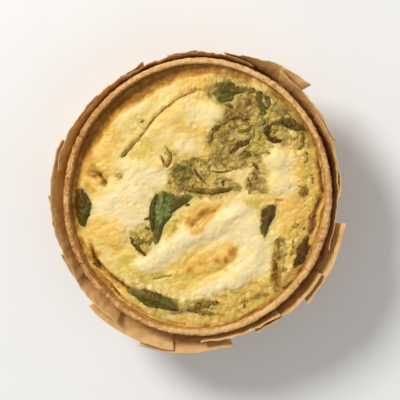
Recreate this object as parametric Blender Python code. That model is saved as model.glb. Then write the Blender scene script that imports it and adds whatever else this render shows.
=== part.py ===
"""A small deep spinach quiche in its baking paper case.

Metres, +Z up. The origin is the centre of the paper's flat underside, and the
quiche's axis is Z. The pieces are the pastry shell, the filling that it holds,
the largest spinach leaves on the filling, and the paper case: a round of paper
slit into tabs, pressed up the pastry's wall, whose free ends splay outwards.
"""

import math

import bmesh
import bpy
from mathutils import Vector
from mathutils.bvhtree import BVHTree

MM = 0.001

# Pastry shell
RIM_RADIUS = 50.0 * MM  # outside of the pastry at its rim
BASE_RADIUS = 46.0 * MM  # outside of the pastry at its foot
RIM_HEIGHT = 35.4 * MM  # top of the rim above the surface it stands on
PASTRY_BASE = 4.0 * MM  # thickness of the bottom crust
RIM_THICKNESS = 2.4 * MM
FOOT_THICKNESS = 3.6 * MM
FOOT_FILLET = 5.0 * MM
RIM_WAVE = 0.30 * MM  # how far the baked rim rises and falls
SEGMENTS = 64

# Filling
FILL_LEVEL = 33.9 * MM  # mean level near the middle
FILL_DOME = 0.5 * MM
EDGE_SINK_MEAN = 1.15 * MM  # how far the filling has drawn down at the wall
EDGE_SINK_SWING = 0.85 * MM
EDGE_SINK_TOWARDS = math.radians(145)  # the side where it has sunk the most
CUSTARD_RINGS = 11

# Gaps between pieces that touch
GAP = 0.30 * MM

# Paper case
PAPER = 0.50 * MM
TABS = 16
TAB_START = math.radians(164)  # where the first slit runs up the wall
TAB_COLUMNS = 4
TAB_ROWS = 5
SLIT_HALF = math.radians(0.7)  # half of the opening between two tabs
PEEL_HEIGHT = 18.0 * MM  # where the tabs come away from the wall
TAB_LENGTH = 16.6 * MM  # free length above that
FOLD_RADIUS = 1.6 * MM
# How far each tab's end leans out from the wall, in degrees, at its two corners,
# counted anticlockwise from TAB_START.
TAB_LEAN = (
    (33, 29), (30, 22), (31, 35), (60, 58),
    (70, 34), (12, 16), (22, 30), (40, 36),
    (16, 16), (18, 21), (25, 28), (52, 9),
    (8, 12), (12, 9), (12, 13), (15, 22),
)

# Raised curds and browned blisters of the filling: x, y, radius, height, in mm.
LUMPS = (
    (-22.0, 4.0, 10.0, 0.55),
    (-4.0, 18.5, 6.0, 0.50),
    (6.0, 31.0, 6.0, 0.45),
    (30.0, 14.0, 6.0, 0.60),
    (29.0, 3.0, 5.0, 0.45),
    (-14.0, -22.0, 7.0, 0.55),
    (-2.0, -14.5, 6.5, 0.60),
    (9.0, -9.5, 6.5, 0.55),
    (21.0, -19.0, 7.0, 0.60),
    (12.0, -30.0, 8.0, 0.45),
    (-33.0, -13.0, 8.0, 0.45),
    (-25.0, 30.0, 9.0, 0.25),
    (17.0, 23.0, 9.0, -0.45),
    (-11.0, -5.0, 6.0, -0.55),
    (33.0, -28.0, 7.0, -0.35),
)

# The largest leaves: name, centre x and y, half length, half width, turn in
# degrees, how pointed, all in mm.
LEAVES = (
    ("spinach_leaf_middle", -12.6, -6.2, 10.2, 5.0, 251.0, 0.80),
    ("spinach_leaf_front", -15.5, -36.9, 10.8, 2.7, -17.0, 0.35),
    ("spinach_leaf_left", -41.6, -4.6, 6.2, 2.6, 84.0, 0.40),
    ("spinach_leaf_back", 9.8, 37.4, 5.6, 3.4, 8.0, 0.30),
    ("spinach_leaf_right", 24.4, -7.6, 5.4, 2.5, 265.0, 0.75),
    ("spinach_leaf_far_right", 37.0, -19.3, 5.4, 2.2, 62.0, 0.45),
    ("spinach_leaf_curled", 32.0, 24.0, 6.4, 2.4, -25.0, 0.40),
    ("spinach_leaf_inner", -6.0, 8.4, 4.2, 3.2, 15.0, 0.30),
    ("spinach_leaf_sunk", -20.7, -16.6, 4.8, 2.6, -38.0, 0.50),
)
LEAF = 0.60 * MM


def clear_scene():
    for obj in list(bpy.data.objects):
        bpy.data.objects.remove(obj, do_unlink=True)


def material(name, colour, roughness):
    made = bpy.data.materials.new(name)
    made.use_nodes = True
    shader = made.node_tree.nodes["Principled BSDF"]
    shader.inputs["Base Color"].default_value = (*colour, 1.0)
    shader.inputs["Roughness"].default_value = roughness
    shader.inputs["Metallic"].default_value = 0.0
    made.diffuse_color = (*colour, 1.0)
    return made


def add_object(name, bm, surface, sharp=40.0):
    mesh = bpy.data.meshes.new(name)
    bmesh.ops.recalc_face_normals(bm, faces=bm.faces)
    bm.to_mesh(mesh)
    bm.free()
    mesh.materials.append(surface)
    mesh.shade_smooth()
    mesh.set_sharp_from_angle(angle=math.radians(sharp))
    obj = bpy.data.objects.new(name, mesh)
    bpy.context.scene.collection.objects.link(obj)
    return obj


def smoothstep(low, high, value):
    t = min(1.0, max(0.0, (value - low) / (high - low)))
    return t * t * (3.0 - 2.0 * t)


def outer_radius(z):
    """Outside of the pastry wall at height z."""
    share = (z - PAPER - GAP) / (RIM_HEIGHT - PAPER - GAP)
    return BASE_RADIUS + (RIM_RADIUS - BASE_RADIUS) * share


def inner_radius(z):
    """Inside of the pastry wall at height z."""
    share = (z - PAPER - GAP) / (RIM_HEIGHT - PAPER - GAP)
    return outer_radius(z) - FOOT_THICKNESS + (FOOT_THICKNESS - RIM_THICKNESS) * share


def rim_wave(angle):
    """The rise and fall of the baked rim, in metres."""
    return RIM_WAVE * (
        0.5 * math.sin(2 * angle + 0.6)
        + 0.3 * math.sin(5 * angle + 2.1)
        + 0.2 * math.sin(9 * angle + 4.0)
    )


def filling_height(x, y):
    """Height of the filling's top at a point."""
    radius = math.hypot(x, y)
    edge = inner_radius(FILL_LEVEL) - GAP
    share = min(1.0, radius / edge)
    angle = math.atan2(y, x)
    sink = EDGE_SINK_MEAN + EDGE_SINK_SWING * math.cos(angle - EDGE_SINK_TOWARDS)
    height = FILL_LEVEL + FILL_DOME * (1.0 - share * share)
    height -= sink * smoothstep(0.80, 1.0, share)
    inside = 1.0 - smoothstep(0.86, 1.0, share)
    for lump_x, lump_y, lump_radius, lump_height in LUMPS:
        away = ((x / MM - lump_x) ** 2 + (y / MM - lump_y) ** 2) / lump_radius**2
        height += lump_height * MM * math.exp(-away) * inside
    return height


def spun(profile):
    """A closed solid of revolution from (radius, z) points that start and end on the axis."""
    bm = bmesh.new()
    points = [bm.verts.new((radius, 0.0, z)) for radius, z in profile]
    edges = [bm.edges.new(pair) for pair in zip(points, points[1:])]
    bmesh.ops.spin(
        bm,
        geom=points + edges,
        cent=(0, 0, 0),
        axis=(0, 0, 1),
        angle=2 * math.pi,
        steps=SEGMENTS,
        use_merge=True,
    )
    bmesh.ops.remove_doubles(bm, verts=bm.verts, dist=0.01 * MM)
    return bm


def fillet(centre_r, centre_z, radius, start, end, steps):
    """Points of an arc in the (radius, z) plane, angles in degrees."""
    for i in range(steps + 1):
        a = math.radians(start + (end - start) * i / steps)
        yield centre_r + radius * math.cos(a), centre_z + radius * math.sin(a)


def make_pastry(surface):
    foot = PAPER + GAP
    floor = foot + PASTRY_BASE
    rim_middle = RIM_RADIUS - RIM_THICKNESS / 2
    profile = [(0.0, foot), (BASE_RADIUS * 0.5, foot)]
    profile += list(fillet(outer_radius(foot + 2 * MM) - 2 * MM, foot + 2 * MM, 2 * MM, -90, 0, 3))
    for share in (0.33, 0.66):
        z = foot + (RIM_HEIGHT - foot) * share
        profile.append((outer_radius(z), z))
    profile += list(
        fillet(rim_middle, RIM_HEIGHT - RIM_THICKNESS / 2, RIM_THICKNESS / 2, 0, 180, 6)
    )
    inner_foot = inner_radius(floor + FOOT_FILLET)
    profile.append((inner_radius(RIM_HEIGHT * 0.6), RIM_HEIGHT * 0.6))
    profile += list(fillet(inner_foot - FOOT_FILLET, floor + FOOT_FILLET, FOOT_FILLET, 0, -90, 3))
    profile += [(BASE_RADIUS * 0.5, floor), (0.0, floor)]
    bm = spun(profile)
    for v in bm.verts:
        near_rim = smoothstep(RIM_HEIGHT - 8 * MM, RIM_HEIGHT - 1 * MM, v.co.z)
        v.co.z += rim_wave(math.atan2(v.co.y, v.co.x)) * near_rim
    return add_object("pastry_shell", bm, surface)


def make_filling(surface):
    floor = PAPER + GAP + PASTRY_BASE + GAP
    edge = inner_radius(FILL_LEVEL) - GAP
    inner_foot = inner_radius(floor - GAP + FOOT_FILLET)
    profile = [(0.0, floor), (BASE_RADIUS * 0.5, floor)]
    profile += list(
        fillet(inner_foot - FOOT_FILLET, floor - GAP + FOOT_FILLET, FOOT_FILLET - GAP, -90, 0, 3)
    )
    middle = RIM_HEIGHT * 0.6
    profile.append((inner_radius(middle) - GAP, middle))
    top = [(edge * math.sqrt(i / CUSTARD_RINGS), FILL_LEVEL) for i in range(CUSTARD_RINGS, -1, -1)]
    bm = spun(profile + top)
    for v in bm.verts:
        if v.co.z > FILL_LEVEL - 0.1 * MM:
            v.co.z = filling_height(v.co.x, v.co.y)
    for v in bm.verts:  # the edge follows the wall's slope down
        radius = math.hypot(v.co.x, v.co.y)
        if radius > edge - 0.05 * MM:
            shrink = (inner_radius(v.co.z) - GAP) / radius
            v.co.x *= shrink
            v.co.y *= shrink
    return add_object("filling", bm, surface, 60.0)


def leaf_outline(half_length, half_width, turn, pointed, steps=14):
    """A leaf's outline round its own centre: blunt at one end and pointed at the other."""
    for i in range(steps):
        a = 2 * math.pi * i / steps
        along = math.cos(a)
        across = math.sin(a) * (1.0 - pointed * 0.5 * (1.0 + along))
        across += 0.12 * math.sin(3 * a + half_length)
        x, y = along * half_length, across * half_width
        c, s = math.cos(turn), math.sin(turn)
        yield (x * c - y * s) * MM, (x * s + y * c) * MM


def make_leaf(name, x, y, half_length, half_width, turn, pointed, ground, surface):
    """A thin leaf that lies on the filling and follows its rise and fall."""
    bm = bmesh.new()
    rings = []
    outline = list(leaf_outline(half_length, half_width, math.radians(turn), pointed))
    for share in (1.0, 0.55):
        ring = []
        for dx, dy in outline:
            ring.append(bm.verts.new((x * MM + dx * share, y * MM + dy * share, 0.0)))
        rings.append(ring)
    centre = bm.verts.new((x * MM, y * MM, 0.0))
    count = len(outline)
    for i in range(count):
        j = (i + 1) % count
        bm.faces.new((rings[0][i], rings[0][j], rings[1][j], rings[1][i]))
        bm.faces.new((rings[1][i], rings[1][j], centre))
    # The highest ground close by keeps the flat facets clear of the filling's own.
    reach = 1.6 * MM
    for v in bm.verts:
        heights = []
        for ox, oy in ((0, 0), (reach, 0), (-reach, 0), (0, reach), (0, -reach)):
            hit = ground.ray_cast(Vector((v.co.x + ox, v.co.y + oy, 0.1)), Vector((0, 0, -1)))
            if hit[0] is not None:
                heights.append(hit[0].z)
        v.co.z = max(heights) + GAP + 0.05 * MM
    extruded = bmesh.ops.extrude_face_region(bm, geom=list(bm.faces))
    for v in extruded["geom"]:
        if isinstance(v, bmesh.types.BMVert):
            v.co.z += LEAF
    return add_object(name, bm, surface, 50.0)


def paper_wall_radius(z):
    """Middle of the paper where it lies against the pastry."""
    return outer_radius(z) + GAP + PAPER / 2 + 0.1 * MM


def tab_point(angle, lean, travelled):
    """A point of a free tab's middle surface: it curls out evenly to its full lean."""
    slope = math.atan2(RIM_RADIUS - BASE_RADIUS, RIM_HEIGHT - PAPER - GAP)
    bend = max(1e-4, math.radians(lean))
    s = travelled
    turned = bend * s / TAB_LENGTH
    along = TAB_LENGTH / bend * math.sin(turned)
    out = TAB_LENGTH / bend * (1.0 - math.cos(turned))
    z = PEEL_HEIGHT + along * math.cos(slope) - out * math.sin(slope)
    radius = paper_wall_radius(PEEL_HEIGHT) + along * math.sin(slope) + out * math.cos(slope)
    return Vector((radius * math.cos(angle), radius * math.sin(angle), z))


def make_paper(surface):
    """The slit round of paper, folded up the wall, as one sheet with thickness."""
    bm = bmesh.new()
    pitch = 2 * math.pi / TABS
    foot = PAPER / 2
    fold_at = paper_wall_radius(foot + FOLD_RADIUS)
    rows = [(fold_at * 0.36, foot), (fold_at * 0.72, foot)]
    rows += [
        (r, z)
        for r, z in fillet(fold_at - FOLD_RADIUS, foot + FOLD_RADIUS, FOLD_RADIUS, -90, 0, 2)
    ]
    rows += [(paper_wall_radius(z), z) for z in (10 * MM, PEEL_HEIGHT)]
    columns = []  # (angle, angle at the free end, tab, place across it)
    for tab in range(TABS):
        start = TAB_START + tab * pitch
        for i in range(TAB_COLUMNS + 1):
            share = i / TAB_COLUMNS
            low = start + 0.25 * SLIT_HALF + share * (pitch - 0.5 * SLIT_HALF)
            high = start + SLIT_HALF + share * (pitch - 2 * SLIT_HALF)
            columns.append((low, high, tab, share))
    centre = bm.verts.new((0, 0, foot))
    grid = []
    for low, high, tab, share in columns:
        line = [bm.verts.new((r * math.cos(low), r * math.sin(low), z)) for r, z in rows]
        lean_a, lean_b = TAB_LEAN[tab]
        lean = lean_a + (lean_b - lean_a) * share
        for row in range(1, TAB_ROWS + 1):
            done = row / TAB_ROWS
            angle = low + (high - low) * done
            line.append(bm.verts.new(tab_point(angle, lean, done * TAB_LENGTH)))
        grid.append(line)
    for i, line in enumerate(grid):
        following = grid[(i + 1) % len(grid)]
        bm.faces.new((centre, line[0], following[0]))
        in_slit = (i + 1) % (TAB_COLUMNS + 1) == 0
        last = len(rows) - 1 if in_slit else len(line) - 1
        for row in range(last):
            bm.faces.new((line[row], line[row + 1], following[row + 1], following[row]))
    obj = add_object("paper_case", bm, surface, 35.0)
    thicken = obj.modifiers.new("paper thickness", "SOLIDIFY")
    thicken.thickness = PAPER
    thicken.offset = 0.0
    thicken.use_even_offset = True
    thicken.use_rim = True
    return obj


def main():
    clear_scene()
    pastry = material("baked_pastry", (0.66, 0.40, 0.17), 0.65)
    custard = material("set_custard", (0.90, 0.74, 0.38), 0.45)
    spinach = material("spinach", (0.075, 0.10, 0.03), 0.40)
    paper = material("baking_paper", (0.50, 0.30, 0.13), 0.60)
    make_pastry(pastry)
    filling = make_filling(custard)
    bpy.context.view_layer.update()
    ground = BVHTree.FromObject(filling, bpy.context.evaluated_depsgraph_get())
    for leaf in LEAVES:
        make_leaf(*leaf, ground, spinach)
    make_paper(paper)


main()
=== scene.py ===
"""Looks of a small spinach quiche in its slit paper case.

Metres, in the frame of the solid model: +Z up, origin under the middle of the
paper, +Y to the top of the picture. Features of the filling are given in mm.
"""

import math

import bpy
import numpy as np
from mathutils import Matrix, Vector


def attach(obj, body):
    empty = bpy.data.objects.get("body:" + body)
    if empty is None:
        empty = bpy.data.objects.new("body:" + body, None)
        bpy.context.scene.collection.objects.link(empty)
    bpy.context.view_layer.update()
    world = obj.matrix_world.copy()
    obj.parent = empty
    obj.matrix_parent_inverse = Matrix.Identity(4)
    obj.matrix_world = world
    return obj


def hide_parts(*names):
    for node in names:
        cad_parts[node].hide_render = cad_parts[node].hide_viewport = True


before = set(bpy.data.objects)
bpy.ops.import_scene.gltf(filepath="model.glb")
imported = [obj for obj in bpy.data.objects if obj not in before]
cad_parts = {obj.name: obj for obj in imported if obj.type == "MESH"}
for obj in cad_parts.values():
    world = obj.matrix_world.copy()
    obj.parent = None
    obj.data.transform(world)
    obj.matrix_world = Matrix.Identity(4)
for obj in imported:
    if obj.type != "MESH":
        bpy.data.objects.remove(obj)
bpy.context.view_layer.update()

MM = 0.001

# The solid model's sizes, in mm
RIM_RADIUS, BASE_RADIUS, RIM_HEIGHT = 50.0, 46.0, 35.4
RIM_THICKNESS, FOOT_THICKNESS, PASTRY_BASE, FOOT_FILLET = 2.4, 3.6, 4.0, 5.0
FILL_LEVEL, FILL_DOME = 33.9, 0.5
PAPER, GAP = 0.5, 0.3
TABS, TAB_START, PEEL_HEIGHT, TAB_LENGTH = 16, math.radians(164), 18.0, 16.6
TAB_LEAN = (
    (33, 29), (30, 22), (31, 35), (60, 58),
    (70, 34), (12, 16), (22, 30), (40, 36),
    (16, 16), (18, 21), (25, 28), (52, 9),
    (8, 12), (12, 9), (12, 13), (15, 22),
)
FOOT_Z = PAPER + GAP


def outer_radius(z):
    return BASE_RADIUS + (RIM_RADIUS - BASE_RADIUS) * (z - FOOT_Z) / (RIM_HEIGHT - FOOT_Z)


def inner_radius(z):
    share = (z - FOOT_Z) / (RIM_HEIGHT - FOOT_Z)
    return outer_radius(z) - FOOT_THICKNESS + (FOOT_THICKNESS - RIM_THICKNESS) * share


FILL_EDGE = inner_radius(FILL_LEVEL) - 0.12

# How far the rim stands out from a true circle: degrees, mm
OUT_OF_ROUND = (
    (0, -1.7), (30, -0.9), (60, 0.3), (90, 0.7), (105, 0.2), (120, -0.4), (150, -0.9), (180, -0.6),
    (210, 0.4), (240, 0.8), (270, 1.0), (300, -0.7), (330, -1.8), (345, -2.1),
)
# How far the filling has shrunk from the wall: degrees, 0 to 1
SHRUNK = (
    (0, 0.0), (50, 0.0), (62, 0.16), (72, 0.34), (82, 0.52), (92, 0.76), (102, 1.20), (115, 1.38),
    (130, 1.30), (140, 1.18), (150, 1.13), (160, 0.85), (170, 0.58), (180, 0.50), (190, 0.34), (204, 0.30),
    (215, 0.36), (230, 0.28), (242, 0.16), (262, 0.12), (290, 0.0),
)


# ---------------------------------------------------------------- number tools


def smoothstep(low, high, value):
    t = np.clip((value - low) / (high - low), 0.0, 1.0)
    return t * t * (3.0 - 2.0 * t)


def ring_table(table, waves):
    """A table of degrees and values, read for each degree, without its corners."""
    line = np.interp(np.arange(360), *np.array(table, float).T, period=360)
    spectrum = np.fft.rfft(line)
    spectrum[waves:] = 0
    return np.fft.irfft(spectrum, 360)


RIM_SHIFT = ring_table(OUT_OF_ROUND, 7)
SHRUNK_LINE = np.clip(ring_table(SHRUNK, 18), 0.0, 1.42)


def bulge(angle, z):
    """How far the wall stands out from the round at a height: nothing at the foot."""
    return np.interp(np.degrees(angle) % 360, np.arange(360), RIM_SHIFT, period=360) * smoothstep(3.0, 34.0, z)


class Noise:
    """Smooth gradient noise in the plane, from -1 to 1."""

    def __init__(self, seed):
        rng = np.random.default_rng(seed)
        self.order = rng.permutation(512)
        turn = rng.uniform(0, 2 * math.pi, 512)
        self.gx, self.gy = np.cos(turn), np.sin(turn)

    def _corner(self, ix, iy, dx, dy):
        h = self.order[(self.order[ix & 511] + iy) & 511]
        return self.gx[h] * dx + self.gy[h] * dy

    def __call__(self, x, y):
        x, y = np.asarray(x, float), np.asarray(y, float)
        ix, iy = np.floor(x).astype(int), np.floor(y).astype(int)
        fx, fy = x - ix, y - iy
        u = fx * fx * fx * (fx * (fx * 6 - 15) + 10)
        v = fy * fy * fy * (fy * (fy * 6 - 15) + 10)
        low = self._corner(ix, iy, fx, fy) * (1 - u) + self._corner(ix + 1, iy, fx - 1, fy) * u
        high = (
            self._corner(ix, iy + 1, fx, fy - 1) * (1 - u)
            + self._corner(ix + 1, iy + 1, fx - 1, fy - 1) * u
        )
        return 1.4 * (low * (1 - v) + high * v)


def fbm(noise, x, y, size, octaves=4, gain=0.5):
    """Noise of several sizes, the largest of them size mm."""
    total, weight, amount, rate = 0.0, 0.0, 1.0, 1.0 / size
    for octave in range(octaves):
        total = total + amount * noise(x * rate + 17.3 * octave, y * rate - 9.1 * octave)
        weight += amount
        amount *= gain
        rate *= 2.03
    return total / weight


class Noise3:
    """Smooth gradient noise in space, from -1 to 1."""

    def __init__(self, seed):
        rng = np.random.default_rng(seed)
        self.order = rng.permutation(256)
        way = rng.normal(size=(256, 3))
        self.way = way / np.linalg.norm(way, axis=1, keepdims=True)

    def __call__(self, x, y, z):
        ix, iy, iz = (np.floor(v).astype(int) for v in (x, y, z))
        fx, fy, fz = x - ix, y - iy, z - iz
        u, v, w = (t * t * t * (t * (t * 6 - 15) + 10) for t in (fx, fy, fz))
        total = 0.0
        for ox in (0, 1):
            for oy in (0, 1):
                for oz in (0, 1):
                    h = self.order[(self.order[(self.order[(ix + ox) & 255] + iy + oy) & 255] + iz + oz) & 255]
                    g = self.way[h]
                    dot = g[..., 0] * (fx - ox) + g[..., 1] * (fy - oy) + g[..., 2] * (fz - oz)
                    total = total + dot * (u if ox else 1 - u) * (v if oy else 1 - v) * (w if oz else 1 - w)
        return 1.5 * total


def fbm3(noise, x, y, z, size, octaves=3, gain=0.55):
    total, weight, amount, rate = 0.0, 0.0, 1.0, 1.0 / size
    for octave in range(octaves):
        total = total + amount * noise(x * rate + 11.7 * octave, y * rate - 5.3 * octave, z * rate + 3.1 * octave)
        weight += amount
        amount *= gain
        rate *= 2.07
    return total / weight


N_SPACE, N_FLAKE = Noise3(14), Noise3(15)
N_WARP_X, N_WARP_Y, N_BROAD, N_FINE, N_MARK = (Noise(s) for s in (3, 4, 5, 6, 7))
N_EDGE, N_PAPER, N_LEAF, N_CRUST = (Noise(s) for s in (8, 9, 10, 12))


def cells(x, y, size, seed):
    """Distances in mm to the nearest and the next of points scattered size mm apart."""
    rng = np.random.default_rng(seed)
    jx, jy = rng.uniform(0, 1, (64, 64)), rng.uniform(0, 1, (64, 64))
    gx, gy = np.floor(x / size).astype(int), np.floor(y / size).astype(int)
    first = np.full(np.shape(x), 1e9)
    second = np.full(np.shape(x), 1e9)
    for ox in (-1, 0, 1):
        for oy in (-1, 0, 1):
            cx, cy = gx + ox, gy + oy
            d = np.hypot(x - (cx + jx[cx & 63, cy & 63]) * size, y - (cy + jy[cx & 63, cy & 63]) * size)
            second = np.minimum(second, np.maximum(first, d))
            first = np.minimum(first, d)
    return first, second


def spline(points, count, closed=False):
    """Points along a smooth curve through the given ones."""
    p = np.asarray(points, float)
    n = len(p)
    spans = n if closed else n - 1
    out = []
    for value in np.linspace(0, spans, count, endpoint=not closed):
        i = min(int(value), spans - 1)
        t = value - i
        if closed:
            a, b, c, d = p[(i - 1) % n], p[i % n], p[(i + 1) % n], p[(i + 2) % n]
        else:
            b, c = p[i], p[i + 1]
            a = p[i - 1] if i > 0 else 2 * b - c
            d = p[i + 2] if i + 2 < n else 2 * c - b
        out.append(
            0.5 * (2 * b + (c - a) * t + (2 * a - 5 * b + 4 * c - d) * t * t
                   + (3 * b - a - 3 * c + d) * t * t * t)
        )
    return np.array(out)


def to_line(x, y, points):
    """Distance of each place from a broken line, and how far along the line it is, 0 to 1."""
    best = np.full(np.shape(x), 1e9)
    along = np.zeros(np.shape(x))
    pts = np.asarray(points, float)
    count = len(pts) - 1
    for i in range(count):
        (ax, ay), (bx, by) = pts[i][:2], pts[i + 1][:2]
        length = (bx - ax) ** 2 + (by - ay) ** 2 + 1e-12
        t = np.clip(((x - ax) * (bx - ax) + (y - ay) * (by - ay)) / length, 0, 1)
        d = np.hypot(x - ax - t * (bx - ax), y - ay - t * (by - ay))
        closer = d < best
        best = np.where(closer, d, best)
        along = np.where(closer, (i + t) / count, along)
    return best, along


def inside(x, y, outline, soft):
    """1 well inside a closed outline, 0 well outside it, the border soft mm to either side."""
    line = spline(outline, 4 * len(outline), closed=True)
    line = np.vstack([line, line[:1]])
    d, _ = to_line(x, y, line)
    odd = np.zeros(np.shape(x), bool)
    for (ax, ay), (bx, by) in zip(line[:-1], line[1:]):
        if ay != by:
            odd ^= ((ay > y) != (by > y)) & (x < (bx - ax) * (y - ay) / (by - ay) + ax)
    return smoothstep(-soft, soft, np.where(odd, d, -d))


def zones(x, y, table):
    """The strongest of a table's zones at each place."""
    total = x * 0.0
    for outline, strength, soft in table:
        total = np.maximum(total, strength * inside(x, y, outline, 1.9 * soft))
    return total


class Raster:
    """A function of place in mm, kept on a square grid and read off between its points."""

    def __init__(self, function, half=48.0, step=0.2):
        count = int(2 * half / step) + 1
        self.half, self.step, self.count = half, step, count
        line = np.linspace(-half, half, count)
        x, y = np.meshgrid(line, line, indexing="ij")
        self.values = function(x, y)

    def __call__(self, x, y):
        x, y = np.asarray(x, float), np.asarray(y, float)
        u = np.clip((x + self.half) / self.step, 0, self.count - 1.001)
        v = np.clip((y + self.half) / self.step, 0, self.count - 1.001)
        i, j = u.astype(int), v.astype(int)
        fu, fv = u - i, v - j
        z = self.values
        return ((z[i, j] * (1 - fu) + z[i + 1, j] * fu) * (1 - fv)
                + (z[i, j + 1] * (1 - fu) + z[i + 1, j + 1] * fu) * fv)


def disc_grid(n):
    """An n by n grid mapped onto the unit disc, its border on the circle."""
    a, b = np.meshgrid(np.linspace(-1, 1, n), np.linspace(-1, 1, n), indexing="ij")
    flat = np.abs(a) > np.abs(b)
    with np.errstate(divide="ignore", invalid="ignore"):
        r = np.where(flat, a, b)
        phi = np.where(flat, (math.pi / 4) * (b / a), math.pi / 2 - (math.pi / 4) * (a / b))
    phi = np.nan_to_num(phi)
    return r * np.cos(phi), r * np.sin(phi)


# ---------------------------------------------------------------- mesh tools


def new_mesh(name, points_mm, faces, surface, smooth=True, marks=None):
    """A mesh object from points in mm. faces is a list of index arrays of 3 or 4 columns."""
    mesh = bpy.data.meshes.new(name)
    points = np.asarray(points_mm, float).reshape(-1, 3) * MM
    groups = [np.asarray(f, int) for f in faces if len(f)]
    loops = np.concatenate([g.ravel() for g in groups])
    sizes = np.concatenate([np.full(len(g), g.shape[1]) for g in groups])
    starts = np.concatenate([[0], np.cumsum(sizes)[:-1]])
    mesh.vertices.add(len(points))
    mesh.vertices.foreach_set("co", points.astype(np.float32).ravel())
    mesh.loops.add(len(loops))
    mesh.loops.foreach_set("vertex_index", loops.astype(np.int32))
    mesh.polygons.add(len(sizes))
    mesh.polygons.foreach_set("loop_start", starts.astype(np.int32))
    mesh.polygons.foreach_set("loop_total", sizes.astype(np.int32))
    mesh.update(calc_edges=True)
    mesh.validate()
    if smooth:
        mesh.shade_smooth()
    for mark, values in (marks or {}).items():
        layer = mesh.attributes.new(mark, "FLOAT", "POINT")
        layer.data.foreach_set("value", np.asarray(values, np.float32).ravel())
    mesh.materials.append(surface)
    obj = bpy.data.objects.new(name, mesh)
    bpy.context.scene.collection.objects.link(obj)
    return obj


def grid_faces(rows, columns, start=0, wrap=False, flip=False):
    """Quads of a grid of points stored row by row."""
    i = np.arange(rows - 1)[:, None]
    j = np.arange(columns if wrap else columns - 1)[None, :]
    k = (j + 1) % columns
    a, b = i * columns + j, i * columns + k
    c, d = (i + 1) * columns + k, (i + 1) * columns + j
    quads = np.stack([a, b, c, d], -1).reshape(-1, 4) + start
    return quads[:, ::-1] if flip else quads


def grid_normals(p):
    du = np.gradient(p, axis=0)
    dv = np.gradient(p, axis=1)
    n = np.cross(du, dv)
    return n / (np.linalg.norm(n, axis=-1, keepdims=True) + 1e-12)


class Pile:
    """Several closed shapes gathered into one mesh."""

    def __init__(self):
        self.points, self.quads, self.triangles, self.marks, self.count = [], [], [], {}, 0

    def add(self, points, quads=(), triangles=(), **marks):
        points = np.asarray(points, float).reshape(-1, 3)
        if len(quads):
            self.quads.append(np.asarray(quads, int) + self.count)
        if len(triangles):
            self.triangles.append(np.asarray(triangles, int) + self.count)
        for key in set(marks) | set(self.marks):
            line = self.marks.setdefault(key, [np.zeros(self.count)] if self.count else [])
            value = marks.get(key, 0.0)
            line.append(np.broadcast_to(np.asarray(value, float).ravel()
                                        if np.ndim(value) else value, (len(points),)).copy())
        self.points.append(points)
        self.count += len(points)

    def add_sheet(self, p, thickness, **marks):
        """A grid of points as a closed sheet of that thickness, rounded at its border."""
        rows, columns = p.shape[:2]
        n = grid_normals(p)
        taper = np.ones((rows, columns))
        taper[0, :] = taper[-1, :] = 0.45
        taper[:, 0] = taper[:, -1] = 0.45
        half = n * (thickness / 2 * taper)[..., None]
        points = np.concatenate([(p + half).reshape(-1, 3), (p - half).reshape(-1, 3)])
        size = rows * columns
        quads = [grid_faces(rows, columns), grid_faces(rows, columns, size, flip=True)]
        border = np.concatenate([
            np.arange(columns), np.arange(1, rows) * columns + columns - 1,
            (rows - 1) * columns + np.arange(columns - 2, -1, -1),
            np.arange(rows - 2, 0, -1) * columns,
        ])
        following = np.roll(border, -1)
        quads.append(np.stack([following, border, border + size, following + size], -1))
        doubled = {
            k: np.concatenate([np.ravel(v), np.ravel(v)]) if np.ndim(v) else v
            for k, v in marks.items()
        }
        self.add(points, np.concatenate(quads), **doubled)

    def add_tube(self, line, radii, sides=10, flat=1.0, **marks):
        """A closed tube with rounded ends along a line of points."""
        line = np.asarray(line, float)
        count = len(line)
        radii = np.broadcast_to(np.asarray(radii, float), (count,)).copy()
        along = np.gradient(line, axis=0)
        along /= np.linalg.norm(along, axis=1, keepdims=True) + 1e-12
        up = np.array([0.0, 0.0, 1.0])
        side = np.cross(along, up)
        side /= np.linalg.norm(side, axis=1, keepdims=True) + 1e-9
        lift = np.cross(side, along)
        turn = np.linspace(0, 2 * math.pi, sides, endpoint=False)
        ring = (
            line[:, None, :]
            + radii[:, None, None] * (np.cos(turn)[None, :, None] * side[:, None, :]
                                      + flat * np.sin(turn)[None, :, None] * lift[:, None, :])
        )
        first = line[0] - along[0] * radii[0] * 0.6
        last = line[-1] + along[-1] * radii[-1] * 0.6
        points = np.concatenate([ring.reshape(-1, 3), [first], [last]])
        j = np.arange(sides)
        k = (j + 1) % sides
        a, b = count * sides, count * sides + 1
        end = (count - 1) * sides
        caps = np.concatenate([
            np.stack([np.full(sides, a), k, j], -1),
            np.stack([np.full(sides, b), end + j, end + k], -1),
        ])
        long_marks = {}
        for key, value in marks.items():
            if np.ndim(value):
                v = np.asarray(value, float)
                value = np.concatenate([np.repeat(v, sides), [v[0]], [v[-1]]])
            long_marks[key] = value
        self.add(points, grid_faces(count, sides, wrap=True, flip=True), caps, **long_marks)

    def make(self, name, surface, **kinds):
        faces = []
        if self.quads:
            faces.append(np.concatenate(self.quads))
        if self.triangles:
            faces.append(np.concatenate(self.triangles))
        marks = {k: np.concatenate(v) for k, v in self.marks.items()}
        return new_mesh(name, np.concatenate(self.points), faces, surface, marks=marks, **kinds)


# ---------------------------------------------------------------- the filling's shape

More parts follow.
